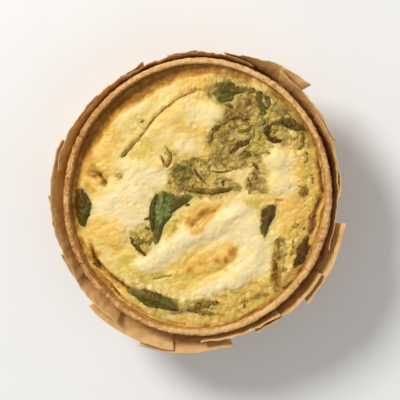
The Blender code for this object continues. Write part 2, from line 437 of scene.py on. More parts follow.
# Curds and swellings: x, y, half length, half width, turn, height
CURDS = (
    (-24.5, 6.0, 11.0, 7.0, 62, 0.90),
    (-30.0, -3.5, 9.0, 4.5, 25, 0.50),
    (-20.5, -7.0, 4.5, 5.0, 70, 0.35),
    (-4.3, 18.2, 4.5, 3.6, 10, 0.75),
    (-11.0, 24.0, 9.0, 6.0, 28, 0.80),
    (-27.0, 30.0, 12.0, 5.5, 40, 0.65),
    (-35.0, 14.0, 6.0, 8.0, -30, 0.60),
    (5.6, 31.6, 5.2, 4.4, 25, 1.00),
    (-4.5, 34.0, 6.0, 3.5, 20, 0.50),
    (29.4, 13.6, 4.8, 4.2, 0, 1.10),
    (28.6, 5.0, 4.0, 3.6, 20, 0.80),
    (38.5, 11.0, 4.0, 8.0, 12, 0.50),
    (-12.0, 13.0, 6.0, 3.2, 60, 0.45),
    (8.5, 8.5, 7.0, 2.6, 8, 0.45),
    (-33.0, -13.5, 8.5, 6.0, 20, 0.75),
    (-24.5, -24.5, 7.5, 4.0, -42, 0.45),
    (15.5, -3.5, 7.0, 2.8, 40, 0.60),
    (34.0, -7.5, 4.5, 9.0, 5, 0.60),
    (33.0, -26.5, 3.6, 7.0, -24, 0.50),
    (6.0, -24.0, 9.0, 2.6, 24, 0.40),
    (24.0, -35.0, 6.0, 3.4, 30, 0.40),
    (-8.5, -40.5, 3.2, 2.0, 10, 0.60),
    (-17.8, -40.0, 2.6, 1.6, -20, 0.45),
    (9.0, -41.0, 6.0, 2.4, 6, 0.30),
)

# Long soft ridges: points, half width, height
RIDGES = (
    (((-22.5, -27.0), (-17.0, -23.5), (-10.5, -19.0), (-3.5, -14.6), (4.0, -11.0), (12.0, -8.0)),
     3.4, 0.96),
    (((15.0, -6.5), (19.0, -12.0), (21.4, -19.0), (18.4, -26.0), (12.0, -30.5), (4.0, -34.5), (-3.5, -36.8)),
     3.3, 0.78),
    (((-2.0, -3.0), (6.0, 0.0), (14.0, 0.6)), 2.6, 0.55),
    (((-36.0, 4.0), (-33.0, -1.0), (-34.0, -7.0)), 2.4, 0.40),
    (((-20.0, 20.5), (-12.5, 27.5), (-4.0, 33.0)), 2.4, 0.45),
    (((38.5, -14.0), (35.5, -24.0), (28.0, -33.0)), 1.8, 0.45),
    (((-38.5, -17.5), (-33.5, -25.5), (-26.0, -31.5), (-18.5, -34.0)), 1.8, 0.55),
    (((-30.0, -34.5), (-22.0, -39.5), (-10.0, -43.6)), 1.1, 0.35),
)

# Cracks and folds: points, half width, depth, darkness. The darkness paints them brown: browning, and painted shade in
# the cracks; the lines along the right of the rim stand for the shaded gap by the wall
GROOVES = (
    (((-39.4, -16.6), (-38.9, -20.2), (-38.0, -23.2), (-35.5, -25.9), (-32.6, -28.4), (-29.8, -31.0), (-26.6, -33.4),
      (-23.0, -35.0)), 0.65, 1.20, 1.35),
    (((-38.6, -20.0), (-38.2, -23.2), (-36.0, -26.6)), 1.15, 0.70, 1.50),
    (((-28.2, 14.4), (-24.0, 18.8), (-20.0, 23.4), (-16.0, 28.6), (-12.4, 32.1), (-8.4, 35.0), (-3.8, 37.3), (0.3, 38.7)),
     0.75, 0.55, 0.45),
    (((27.6, -22.2), (27.8, -26.6), (28.4, -33.0)), 0.98, 1.05, 1.60),
    (((28.6, -15.6), (29.2, -19.6), (29.6, -24.0)), 0.50, 0.70, 0.95),
    (((-12.0, 18.2), (-10.4, 15.6), (-10.1, 13.2), (-11.6, 10.6)), 0.45, 0.60, 0.60),
    (((-13.6, 15.2), (-12.8, 12.6), (-11.6, 10.6)), 0.45, 0.60, 0.60),
    (((-17.4, -30.6), (-13.0, -29.4), (-9.4, -28.4)), 0.45, 0.45, 0.30),
    (((-4.5, 2.0), (2.0, 1.0), (9.0, 1.8), (14.0, 3.2)), 0.70, 0.40, 0.30),
    (((-13.5, -27.5), (-6.0, -25.0), (0.0, -19.5), (9.0, -14.5)), 1.10, 0.45, 0.00),
    (((-1.5, -29.5), (7.0, -27.5), (13.0, -22.0), (16.0, -15.5)), 1.10, 0.45, 0.00),
    (((43.0, 13.8), (43.8, 10.0), (44.5, 5.0), (44.7, 0.4)), 0.90, 1.10, 1.40),
    (((44.2, 1.2), (43.7, -0.9), (42.6, -3.4), (42.0, -6.4), (41.4, -9.6), (40.6, -12.4), (40.0, -14.6)),
     1.05, 1.15, 1.60),
    (((41.6, -5.0), (40.2, -6.4), (40.6, -8.4)), 0.45, 0.50, 0.80),
    (((-34.4, -30.4), (-32.6, -32.2), (-30.2, -35.0), (-28.0, -37.9)), 0.55, 0.80, 1.25),
    (((-40.0, 9.5), (-35.8, 7.6), (-33.6, 4.9)), 0.50, 0.60, 0.75),
)

# Browned places: x, y, half length, half width, turn, strength
BROWN = (
    (1.3, -6.6, 4.1, 2.2, 30, 1.15), (-1.8, -9.2, 2.6, 1.8, 40, 1.00), (4.6, -4.8, 2.6, 1.3, 30, 0.75),
    (-0.4, -12.0, 2.4, 1.2, 20, 0.35),
    (11.9, -20.0, 1.9, 1.8, 30, 1.10), (10.2, -22.6, 1.8, 1.3, 50, 0.95), (6.4, -23.2, 2.6, 1.5, 20, 0.70),
    (1.3, -24.2, 3.4, 1.6, 18, 0.55), (-3.4, -27.4, 2.6, 1.8, 40, 0.60), (-6.6, -32.4, 2.6, 1.4, 40, 0.45),
    (-30.6, -18.6, 2.8, 1.6, -20, 0.40), (-37.8, -23.4, 1.6, 3.3, -16, 1.15), (-33.8, -28.4, 2.8, 1.1, -42, 0.75),
    (-29.2, -32.0, 2.8, 1.3, -40, 0.85), (-31.0, -34.6, 3.2, 0.8, -48, 0.55),
    (-38.0, 8.6, 3.6, 2.4, -18, 1.02), (-39.8, 13.0, 1.8, 2.2, 0, 0.55), (-40.2, 3.8, 1.8, 2.4, 0, 0.50), (-39.7, -20.4, 1.1, 3.0, -8, 0.90), (-34.4, 5.4, 1.4, 1.6, -50, 1.20), (-40.4, 10.6, 1.8, 1.2, 10, 0.60),
    (-38.2, 2.2, 2.0, 1.2, 0, 0.42), (-29.0, 7.0, 1.8, 1.4, 0, 0.45), (7.5, 45.4, 1.8, 1.1, 0, 1.20),
    (13.4, 43.8, 2.6, 1.2, -12, 0.85), (17.2, 42.4, 1.6, 1.0, -20, 0.60), (4.2, 20.4, 0.9, 1.6, 0, 0.90),
    (2.4, 35.4, 1.2, 1.0, 0, 0.30), (2.6, 39.4, 2.4, 1.6, 0, 0.50), (3.2, -8.4, 2.4, 1.4, 35, 0.45),
    (-3.6, -8.8, 2.2, 1.5, 40, 0.72), (-6.4, -33.0, 2.6, 1.6, 30, 0.42), (-10.9, 14.2, 1.5, 2.8, 8, 0.60), (15.4, 32.6, 4.0, 2.8, -30, 0.60), (37.6, 2.2, 1.8, 2.4, 0, 0.80),
    (36.9, -18.8, 5.6, 2.8, 62, 0.75), (28.3, -28.4, 1.6, 3.6, 4, 1.20), (5.0, 11.8, 2.6, 0.8, 0, 0.45),
    (21.8, 5.2, 2.8, 3.0, 15, 0.52), (17.4, 34.6, 1.8, 1.5, 0, 0.75), (13.6, 29.4, 4.2, 1.7, 8, 0.62),
    (38.6, 2.4, 1.8, 2.0, 0, 0.40), (36.4, -28.6, 1.2, 2.6, -26, 0.60), (33.8, -31.6, 1.8, 1.2, 30, 0.80),
    (27.6, 38.0, 3.0, 1.5, -42, 1.00), (30.0, 36.0, 1.8, 1.2, -42, 0.80),
    (8.6, -39.0, 1.6, 1.2, 20, 0.70), (2.3, -43.6, 1.6, 1.1, 0, 0.95), (8.0, -43.0, 1.6, 1.2, -20, 0.85),
    (7.4, -45.2, 1.2, 0.9, 0, 0.60), (14.0, -42.0, 2.0, 0.9, 20, 0.45), (-16.2, -43.6, 1.3, 0.9, 0, 0.90),
    (-6.1, -45.4, 2.0, 0.9, 0, 0.70), (26.6, -36.8, 1.8, 1.0, 30, 0.60), (-44.0, -15.5, 1.0, 3.4, 10, 0.75),
    (40.6, -8.8, 1.4, 3.6, -8, 0.70), (-5.6, 38.6, 3.4, 1.2, 12, 0.28), (0.6, 39.2, 2.6, 1.4, 8, 0.40),
    (-3.6, 14.0, 2.6, 1.2, -10, 0.25), (1.6, 14.8, 2.4, 1.0, 0, 0.40),
    (23.9, -35.4, 1.7, 1.0, 20, 1.00), (21.0, -36.6, 1.8, 1.1, 30, 1.15), (16.6, -38.6, 2.2, 1.1, 10, 1.15),
    (29.3, -1.2, 2.2, 1.0, 10, 0.80), (28.4, -4.0, 1.3, 2.6, 0, 0.60), (26.0, -1.2, 2.2, 0.9, 10, 0.50), (31.4, -10.0, 1.1, 2.6, 0, 0.30),
    (-31.6, -29.6, 3.2, 1.2, -42, 0.60), (-25.8, -33.0, 2.6, 0.9, -20, 0.60), (36.6, -27.0, 1.0, 2.4, -20, 0.45), (21.4, -31.6, 1.3, 0.8, 0, 0.55),
    (12.6, -34.4, 1.5, 0.9, -20, 0.45), (9.0, -36.6, 1.2, 0.8, 0, 0.40), (6.6, -36.2, 1.6, 0.8, 10, 0.35),
    (19.6, -34.6, 1.2, 0.8, 0, 0.45), (24.6, -31.6, 1.0, 0.8, 0, 0.35), (11.0, -41.0, 1.4, 0.8, 20, 0.55),
    (18.6, -42.0, 1.8, 0.8, 20, 0.50), (22.4, -39.6, 1.8, 0.8, 30, 0.50), (29.2, -35.0, 1.4, 0.9, 60, 0.65),
    (31.8, -27.6, 1.2, 1.8, 0, 0.40), (33.6, -22.6, 1.0, 1.6, 0, 0.40), (32.0, -17.4, 1.0, 1.6, 0, 0.30),
    (37.6, -8.0, 1.2, 1.8, 0, 0.35), (36.4, -3.6, 1.4, 1.0, 0, 0.30), (40.2, 9.0, 1.0, 2.2, 0, 0.35),
    (41.4, 17.2, 1.0, 1.6, 30, 0.35), (40.0, 21.6, 1.0, 2.0, 30, 0.35), (37.2, 12.0, 1.0, 1.6, 0, 0.25),
)

# Zones of one colour: outline in mm, strength, softness of the border in mm
WHITE = (
    (((-28.3, 13.2), (-23.0, 13.6), (-18.0, 11.2), (-13.0, 10.2), (-10.4, 7.5), (-10.6, 3.6), (-15.6, 1.8),
      (-17.6, -3.0), (-18.0, -8.5), (-20.5, -11.5), (-24.6, -13.0), (-28.4, -9.8), (-32.0, -7.0), (-36.5, -6.4),
      (-40.0, -8.0), (-39.6, -2.6), (-36.6, -1.0), (-32.6, 1.2), (-29.4, 4.0), (-27.6, 8.8)), 1.00, 1.2),
    (((-22.8, -24.5), (-20.4, -21.2), (-16.6, -17.2), (-11.0, -14.6), (-5.6, -12.2), (0.4, -13.4), (4.4, -9.4),
      (7.6, -4.4), (12.0, -1.4), (17.0, -2.0), (20.2, -5.0), (21.6, -10.0), (22.6, -14.8), (25.6, -16.0),
      (26.2, -21.0), (25.0, -26.6), (20.0, -30.0), (13.0, -33.0), (6.0, -35.8), (0.0, -38.0), (-5.6, -39.0),
      (-5.4, -36.6), (2.0, -32.4), (8.0, -29.4), (12.5, -26.0), (15.2, -22.0), (14.6, -17.6), (9.0, -15.8),
      (3.0, -16.8), (-3.0, -19.4), (-8.0, -22.6), (-13.0, -26.2), (-18.6, -27.2)), 1.00, 1.1),
    (((-6.0, 30.5), (-3.0, 33.4), (1.6, 33.8), (5.0, 32.8), (8.2, 32.2), (8.6, 30.0), (7.8, 28.0), (5.0, 26.6),
      (1.5, 26.4), (-2.5, 28.4)), 0.79, 1.0),
    (((-8.5, 17.0), (-7.5, 20.5), (-3.5, 21.0), (-1.0, 18.5), (-1.5, 16.0), (-5.0, 15.2)), 0.75, 1.0),
    (((24.5, 15.6), (27.0, 17.6), (32.0, 17.2), (35.5, 14.4), (34.2, 10.6), (34.6, 5.6), (33.0, 1.2), (28.6, 0.4),
      (25.4, 3.0), (25.8, 7.6), (24.6, 11.0)), 0.68, 1.7),
    (((13.0, 5.4), (12.6, 9.4), (17.2, 9.0), (18.2, 6.0), (16.4, 4.4)), 0.55, 1.2),
    (((-14.5, -43.2), (-12.0, -42.2), (-8.4, -42.8), (-6.5, -44.2), (-9.0, -45.3), (-13.0, -45.0)), 0.85, 0.6),
    (((-21.4, -39.8), (-18.0, -39.5), (-16.2, -41.2), (-19.0, -42.0)), 0.80, 0.6),
    (((-28.0, 31.0), (-24.0, 34.5), (-19.5, 36.0), (-18.5, 33.5), (-22.0, 30.0), (-25.5, 27.6), (-29.0, 28.0)),
     0.60, 1.4),
    (((-12.5, 38.0), (-9.0, 41.0), (-4.0, 41.6), (-3.0, 39.4), (-8.0, 37.0)), 0.35, 1.4),
    (((-14.8, 20.6), (-12.6, 25.0), (-8.0, 24.5), (-9.0, 20.6)), 0.45, 1.4),
    (((-14.4, 34.8), (-12.0, 36.8), (-9.6, 35.4), (-12.0, 33.2)), 0.50, 1.0),
    (((-35.6, -29.0), (-33.4, -28.6), (-31.4, -31.2), (-33.2, -32.2)), 0.80, 0.6),
    (((18.6, 38.6), (21.0, 41.2), (23.6, 38.8), (21.2, 37.4)), 0.60, 0.8),
    (((31.2, 21.6), (32.6, 25.0), (35.0, 23.4), (34.4, 20.6)), 0.55, 0.8),
    (((24.8, 19.0), (26.8, 20.4), (28.2, 19.0), (26.4, 17.8)), 0.70, 0.5),
)
GOLD = (
    (((-41.4, 9.0), (-40.4, 16.0), (-37.0, 23.0), (-32.0, 27.5), (-29.0, 25.0), (-27.5, 20.0), (-30.0, 14.5),
      (-30.0, 9.5), (-34.0, 8.5)), 0.68, 1.8),
    (((-42.6, -1.5), (-38.6, 0.4), (-35.0, 3.4), (-32.0, 6.4), (-30.6, 9.4), (-33.6, 11.0), (-41.8, 12.0)), 0.90, 1.4),
    (((-16.4, 27.0), (-12.0, 31.2), (-8.4, 31.8), (-5.6, 28.0), (-2.5, 26.2), (2.6, 25.2), (2.4, 19.5), (-0.5, 21.5),
      (-7.0, 21.8), (-10.0, 25.6)), 0.78, 1.6),
    (((-41.4, -9.4), (-36.5, -7.4), (-32.0, -8.0), (-28.6, -10.6), (-27.4, -15.5), (-28.0, -20.4), (-32.0, -21.5),
      (-36.0, -17.6), (-41.0, -16.0)), 0.74, 2.2),
    (((28.8, -2.0), (29.0, -9.0), (29.6, -14.5), (33.5, -15.6), (38.6, -12.0), (41.0, -6.0), (42.6, 2.0),
      (42.4, 10.0), (38.6, 15.4), (35.8, 14.6), (34.8, 9.0), (34.6, 3.5), (31.5, 0.0)), 0.80, 1.2),
    (((-7.0, -22.5), (0.0, -19.8), (7.0, -19.0), (10.6, -16.8), (14.2, -18.4), (13.6, -22.2), (9.6, -26.4),
      (3.2, -29.6), (-2.6, -32.4), (-7.6, -34.2), (-11.0, -31.0), (-9.8, -27.0)), 0.84, 1.4),
    (((-5.8, -9.0), (-3.8, -5.2), (0.0, -2.4), (5.0, -1.4), (8.4, -2.8), (6.4, -7.0), (1.6, -12.4), (-2.8, -13.4)),
     1.00, 1.0),
    (((29.2, -17.0), (33.0, -16.6), (35.0, -21.0), (33.6, -26.5), (36.4, -27.5), (34.0, -33.0), (30.0, -35.5),
      (29.8, -28.0)), 0.75, 1.2),
    (((-7.0, 43.6), (0.0, 44.6), (5.0, 43.4), (4.4, 38.0), (-1.6, 37.0), (-6.0, 38.6)), 0.90, 1.4),
)
LEMON = (
    (((37.4, 14.0), (37.8, 6.0), (38.4, -3.0), (40.6, -4.5), (42.8, 2.0), (43.0, 10.0), (41.0, 16.5)), 0.75, 1.6),
    (((25.0, 12.6), (27.4, 15.4), (32.6, 14.0), (34.0, 8.6), (33.0, 3.4), (27.4, 3.6), (25.6, 8.0)), 0.50, 1.6),
    (((-25.0, 14.0), (-23.0, 18.4), (-19.6, 20.6), (-16.6, 19.4), (-17.6, 15.6), (-21.0, 13.2)), 1.00, 1.4),
    (((-28.0, -20.5), (-25.0, -15.6), (-21.0, -22.0), (-23.6, -25.2), (-18.4, -28.2), (-12.0, -27.2), (-8.0, -30.0),
      (-9.0, -33.6), (-16.0, -33.0), (-22.5, -32.2), (-27.5, -29.6), (-31.4, -25.6)), 0.76, 1.8),
    (((-9.4, -27.0), (-5.0, -25.0), (-0.4, -26.6), (-3.0, -31.0), (-7.5, -34.0), (-10.6, -30.6)), 1.00, 1.4),
    (((8.0, -34.8), (15.0, -32.4), (22.0, -30.6), (27.0, -28.6), (27.4, -33.8), (29.6, -36.4), (22.6, -40.2),
      (15.0, -43.2), (8.0, -44.8), (2.0, -45.0), (4.0, -41.6), (8.0, -38.4)), 1.00, 1.4),
    (((17.0, -0.2), (22.6, -0.4), (22.2, -6.6), (19.4, -8.4), (17.4, -4.0)), 1.00, 1.0),
    (((-14.6, -10.0), (-11.4, -7.4), (-6.8, -6.4), (-7.2, -10.4), (-12.4, -14.0)), 1.00, 1.2),
    (((17.2, 16.2), (17.4, 21.4), (21.6, 23.0), (24.6, 20.8), (22.8, 15.4)), 0.90, 1.4),
    (((-2.6, 5.2), (2.4, 9.4), (12.0, 10.0), (12.6, 5.4), (6.0, 4.2)), 0.55, 1.2),
    (((25.4, 9.8), (27.6, 11.2), (30.0, 9.6), (28.4, 7.8)), 0.55, 1.2),
    (((15.0, -26.8), (17.4, -30.6), (21.4, -28.6), (20.6, -25.6)), 0.40, 1.6),
    (((-13.4, 17.2), (-10.8, 16.4), (-10.7, 12.4), (-12.4, 12.8)), 0.90, 0.8),
)
# Where the filling is more spinach and onion than custard
OLIVE = (
    (((2.2, 19.6), (3.4, 23.4), (5.4, 26.2), (9.4, 28.2), (9.8, 32.6), (11.6, 34.6), (13.0, 36.0), (13.6, 42.6),
      (18.6, 41.8), (20.6, 39.0), (24.6, 40.2), (29.0, 37.6), (33.8, 33.8), (38.2, 29.4), (41.6, 24.6),
      (42.6, 20.4), (40.6, 18.2), (38.4, 18.0), (36.4, 17.6), (33.6, 18.6), (27.0, 18.4), (24.0, 15.8), (23.4, 12.4),
      (24.6, 8.4), (24.4, 2.4), (18.6, 1.6), (16.6, 4.4), (19.0, 9.4), (16.8, 10.4), (9.0, 10.0), (1.6, 10.2),
      (3.2, 14.4)), 1.00, 1.3),
    (((-1.6, 35.6), (3.6, 34.2), (4.8, 38.4), (-1.2, 38.2)), 0.48, 0.9),
    (((2.8, 35.4), (3.6, 41.8), (9.0, 43.2), (14.6, 42.2), (14.0, 34.0), (9.8, 33.4)), 0.90, 1.2),
    (((-5.4, 1.2), (-4.8, 5.4), (0.4, 6.0), (12.0, 5.2), (15.2, 3.2), (13.0, 0.8), (2.0, -0.8)), 1.00, 0.9),
    (((-12.8, 17.8), (-8.4, 17.4), (-6.6, 14.2), (-9.0, 11.2), (-13.0, 11.6)), 0.50, 0.9),
    # beside the middle leaf's right side: painted shadow of the leaf, in olive
    (((-12.6, -16.6), (-9.4, -9.0), (-5.6, -3.0), (-3.4, -4.0), (-6.8, -10.6), (-10.8, -17.0)), 0.50, 1.0),
    (((-30.6, -28.4), (-24.0, -31.2), (-17.0, -32.4), (-10.4, -34.6), (-9.4, -36.4), (-16.0, -34.4), (-24.0, -33.8),
      (-31.6, -31.0)), 0.50, 1.0),
    (((-11.4, 3.0), (-10.8, 7.0), (-9.4, 12.2), (-6.0, 13.4), (1.4, 13.8), (3.4, 11.4), (0.4, 9.6), (-1.6, 6.4), (-5.0, 1.8), (-9.4, 0.8)),
     1.00, 1.0),
    (((0.4, 5.4), (0.2, 9.8), (6.4, 10.6), (9.0, 8.4), (8.4, 5.6)), 0.70, 0.9),
    (((-24.4, -13.6), (-20.8, -19.0), (-16.4, -17.4), (-15.8, -12.0), (-18.4, -9.4), (-22.4, -9.8)), 0.50, 1.0),
    (((-12.4, -36.2), (-5.6, -38.4), (-4.4, -42.4), (-8.0, -43.4), (-13.0, -42.4)), 0.70, 0.9),
    (((-5.6, -38.6), (0.0, -37.2), (6.0, -38.2), (8.6, -40.6), (2.0, -43.0), (-5.0, -42.6)), 0.80, 0.9),
    (((14.0, -37.6), (19.0, -36.8), (24.0, -33.6), (27.2, -34.6), (24.0, -37.8), (17.0, -40.0)), 0.55, 1.0),
    (((27.0, -15.0), (31.4, -15.4), (31.2, -24.6), (29.2, -34.2), (26.6, -33.6), (26.6, -24.0)), 0.95, 0.9),
    (((34.4, -13.0), (38.4, -12.6), (38.0, -15.4), (35.2, -20.4), (32.8, -22.6)), 0.50, 1.0),
    (((36.0, 4.6), (38.6, 5.0), (39.6, 2.2), (38.0, -0.4), (35.6, 1.0)), 0.55, 0.7),
    (((-30.8, 8.8), (-27.6, 8.8), (-27.4, 5.6), (-30.6, 5.6)), 0.55, 0.8),
    (((-22.4, 27.8), (-19.8, 29.0), (-17.6, 25.2), (-20.4, 23.8)), 0.45, 0.7),
    (((6.0, 42.0), (6.4, 46.4), (12.0, 45.6), (17.6, 43.6), (17.0, 41.0)), 0.85, 0.8),
)

# Pale custard that shows through the olive
PALE = (
    (((30.8, 20.4), (31.2, 23.8), (33.4, 24.9), (35.4, 23.6), (35.2, 20.4), (33.0, 19.4)), 0.62, 0.7),
    (((18.8, 38.6), (19.6, 41.4), (23.4, 41.0), (24.6, 38.6), (21.6, 37.6)), 0.85, 0.7),
    (((24.4, 20.0), (26.8, 20.6), (28.4, 18.8), (26.2, 17.4)), 0.70, 0.5),
    (((19.2, 22.6), (20.4, 26.0), (22.4, 25.6), (22.2, 22.4)), 0.45, 0.8),
    (((6.4, 19.0), (7.0, 21.6), (9.6, 21.8), (9.4, 19.4)), 0.35, 0.8),
    (((12.0, 21.6), (14.6, 22.8), (17.4, 22.2), (15.0, 20.6)), 0.45, 0.6),
)

# Where torn flecks of leaf lie: x, y, half length, half width, turn, how many
SCATTER = (
    (16.0, 25.0, 8.5, 5.6, -10, 1.00), (12.6, 17.0, 7.0, 4.6, -25, 0.95),
    (25.0, 27.4, 5.0, 5.0, 0, 0.80), (31.0, 24.0, 6.0, 4.4, -20, 0.70),
    (20.0, 8.6, 5.4, 4.4, 10, 0.60), (4.0, 7.0, 8.0, 3.4, 0, 0.42),
    (12.0, 36.6, 7.6, 2.6, -6, 0.85), (24.8, 18.0, 4.4, 3.0, 0, 0.65),
    (38.0, 17.0, 2.6, 3.6, 15, 0.60), (30.6, -28.0, 3.4, 6.4, -22, 0.45),
    (22.0, -36.6, 7.4, 2.6, 28, 0.60), (-35.6, 6.6, 3.4, 2.0, -10, 0.35),
    (6.0, -39.6, 7.6, 2.0, 4, 0.75), (-8.6, -6.0, 3.4, 5.6, -38, 0.20),
    (-16.6, -15.0, 3.0, 4.6, 20, 0.20), (37.6, -14.0, 2.2, 6.0, 8, 0.35),
)

# Leaves that lie on the filling. Each is an outline in mm round its own middle.
# lift: how far its middle stands proud. bury: how far its border dips under.
PATCHES = {
    "spinach_leaf_middle": dict(
        outline=((-15.6, 1.3), (-12.1, 1.9), (-8.0, 0.6), (-2.4, 1.0), (-3.6, -1.9), (-7.1, -4.0),
                 (-9.7, -7.3), (-12.2, -10.6), (-14.3, -15.6), (-16.1, -17.4), (-17.3, -12.5),
                 (-17.7, -7.5), (-17.2, -2.7)),
        centre=(-12.6, -4.6), veins=0.45, cover=0.25, spots=((-14.6, -5.2, 3.2, 0.36), (-6.0, -1.2, 3.0, -0.28), (-9.0, -3.4, 2.4, -0.26), (-15.2, -13.0, 3.0, -0.42), (-13.4, 1.0, 1.6, -0.35)), lift=1.15, bury=0.45, film=0.10, tone=0.85,
        fold=((-13.4, 1.2), (-13.9, -7.0), (-15.9, -16.4), 0.50)),
    "spinach_leaf_front": dict(
        outline=((-27.0, -34.2), (-24.0, -33.6), (-19.4, -33.7), (-16.2, -34.6), (-13.0, -36.0), (-9.6, -37.2), (-7.2, -39.0),
                 (-6.2, -41.0), (-7.2, -42.5), (-10.2, -42.2), (-14.0, -41.4), (-17.6, -40.6), (-21.6, -39.2), (-24.4, -37.2)),
        centre=(-15.8, -38.2), veins=0.30, cover=0.35, spots=((-17.0, -37.4, 3.0, -0.30), (-12.4, -37.6, 2.4, 0.20), (-14.6, -40.0, 2.6, 0.16), (-23.2, -35.6, 2.6, 0.20), (-8.6, -41.2, 2.2, -0.16)), lift=0.75, bury=0.50, film=0.12, tone=0.42,
        fold=((-26.4, -34.8), (-16.0, -37.6), (-7.0, -41.0), 0.45)),
    "spinach_leaf_left": dict(
        outline=((-44.6, 2.9), (-42.2, 2.7), (-40.2, 0.8), (-38.9, -2.8), (-39.7, -7.2), (-41.8, -11.4), (-44.4, -9.6),
                 (-45.4, -4.5), (-45.6, -0.5)),
        centre=(-42.7, -4.4), veins=0.05, cover=0.0, spots=((-44.8, -2.8, 2.8, -0.34), (-41.0, -4.4, 2.2, 0.24), (-41.6, -9.0, 1.8, 0.15)), lift=0.70, bury=0.40, film=0.00, tone=0.36, rim=0.3,
        fold=((-43.4, 1.6), (-42.4, -4.0), (-42.6, -9.8), 0.35)),
    "spinach_leaf_back": dict(
        outline=((4.6, 37.6), (6.2, 41.2), (10.4, 42.2), (14.2, 40.9), (17.8, 39.6), (17.0, 37.9),
                 (13.8, 37.2), (12.2, 34.4), (8.6, 33.7), (5.6, 35.0)),
        centre=(10.0, 38.0), veins=0.25, cover=0.45, spots=((10.0, 37.0, 2.4, 0.12), (14.6, 38.6, 2.4, -0.20)), lift=0.60, bury=0.45, film=0.16, tone=0.50,
        fold=((5.2, 38.0), (10.0, 38.6), (16.8, 38.8), 0.35)),
    "spinach_leaf_right": dict(
        outline=((22.5, -4.8), (23.3, -3.4), (24.6, -2.9), (26.4, -2.3), (28.0, -2.2), (28.5, -3.4), (28.0, -4.9), (27.8, -6.4),
                 (27.0, -8.2), (25.8, -9.8), (25.2, -11.8), (24.6, -13.2), (23.7, -14.4), (22.9, -13.2), (22.1, -11.6),
                 (22.4, -9.6), (22.2, -7.0)),
        centre=(25.0, -7.4), veins=0.10, cover=0.0, spots=((23.6, -11.8, 2.4, 0.52), (27.2, -5.4, 1.5, 0.45), (23.0, -8.0, 1.2, 0.20)), lift=0.55, bury=0.50, film=0.10, tone=0.04, rim=1.0, torn=1.3,
        fold=((25.6, -3.0), (25.2, -7.4), (23.8, -13.6), 0.40)),
    "spinach_leaf_far_right": dict(
        outline=((39.5, -13.7), (39.9, -15.0), (39.6, -16.2), (40.7, -17.4), (39.9, -18.8), (39.8, -20.4), (38.7, -21.2),
                 (38.7, -23.0), (37.4, -24.6), (35.4, -25.3), (33.5, -24.6), (33.9, -23.4), (35.3, -22.8), (35.2, -21.0),
                 (35.3, -18.9), (36.1, -17.2), (37.5, -15.9), (38.2, -14.6)),
        centre=(37.4, -19.8), veins=0.06, cover=0.0, spots=((36.6, -19.4, 1.4, 0.16), (39.0, -15.4, 1.3, 0.14), (36.2, -23.6, 1.6, 0.12)), lift=0.50, bury=0.50, film=0.07, tone=0.02, rim=0.9, torn=1.5,
        fold=((39.4, -14.2), (37.8, -19.6), (35.4, -24.2), 0.35)),
    "spinach_leaf_inner": dict(
        outline=((-9.6, 10.2), (-7.6, 11.7), (-4.6, 11.6), (-2.2, 9.6), (-2.6, 6.4), (-5.0, 4.8),
                 (-8.4, 5.0), (-10.0, 7.4)),
        centre=(-6.2, 8.3), veins=0.35, cover=0.45, spots=((-6.0, 8.4, 2.0, 0.20), (-9.2, 8.0, 1.2, -0.25)), lift=0.50, bury=0.40, film=0.50, tone=0.55,
        fold=((-9.4, 9.6), (-6.0, 8.0), (-2.8, 7.6), 0.25)),
    "spinach_leaf_sunk": dict(
        outline=((-25.2, -13.2), (-23.4, -13.0), (-21.6, -15.4), (-19.2, -15.2), (-17.2, -12.6), (-16.2, -14.8),
                 (-17.4, -19.0), (-19.5, -22.2), (-23.0, -19.6)),
        centre=(-20.6, -17.4), veins=0.30, cover=0.50, spots=(), lift=0.16, bury=0.30, film=2.4, tone=0.70,
        fold=((-24.4, -13.6), (-20.4, -19.6), (-17.6, -13.4), 0.30)),
}


def warped(x, y):
    wx = x + 1.5 * fbm(N_WARP_X, x, y, 8.0, 3) + 0.45 * fbm(N_WARP_X, x + 40, y, 2.2, 2)
    wy = y + 1.5 * fbm(N_WARP_Y, x, y, 8.0, 3) + 0.45 * fbm(N_WARP_Y, x + 40, y, 2.2, 2)
    return wx, wy


def blob(x, y, cx, cy, long_half, short_half, turn, sharp=1.0):
    c, s = math.cos(math.radians(turn)), math.sin(math.radians(turn))
    dx, dy = x - cx, y - cy
    q = ((dx * c + dy * s) / long_half) ** 2 + ((dy * c - dx * s) / short_half) ** 2
    return np.exp(-(q**sharp))


def drawn_back(angle):
    """How far the filling has shrunk from the wall: most at the upper left."""
    degrees = np.degrees(angle) % 360
    share = np.interp(degrees, np.arange(360), SHRUNK_LINE, period=360)
    ripple = 0.14 * N_EDGE(degrees / 9.0, degrees * 0 + 0.5) + 0.07 * N_EDGE(degrees / 3.0, degrees * 0 + 7.5)
    return np.clip(share * (1 + ripple) + 0.5 * np.abs(ripple), 0, 1.47)


def strayed(x, y):
    """Places moved a little, so that a line drawn through them wavers."""
    return (x + 0.9 * fbm(N_EDGE, x + 7, y, 3.4, 3, 0.6), y + 0.9 * fbm(N_EDGE, y + 60, x - 25, 3.4, 3, 0.6))


def wall_gap(x, y, angle):
    """Distance in mm from the pastry's inner side, a little uneven where the filling has shrunk from it."""
    away = FILL_EDGE + bulge(angle, 33.9) - np.hypot(x, y)
    ragged = 0.55 * fbm(N_EDGE, x, y, 4.0, 4, 0.6) + 0.60 * drawn_back(angle) * fbm(N_EDGE, x - 90, y, 5.5, 4, 0.6)
    return away + ragged * smoothstep(0.0, 1.5, away)


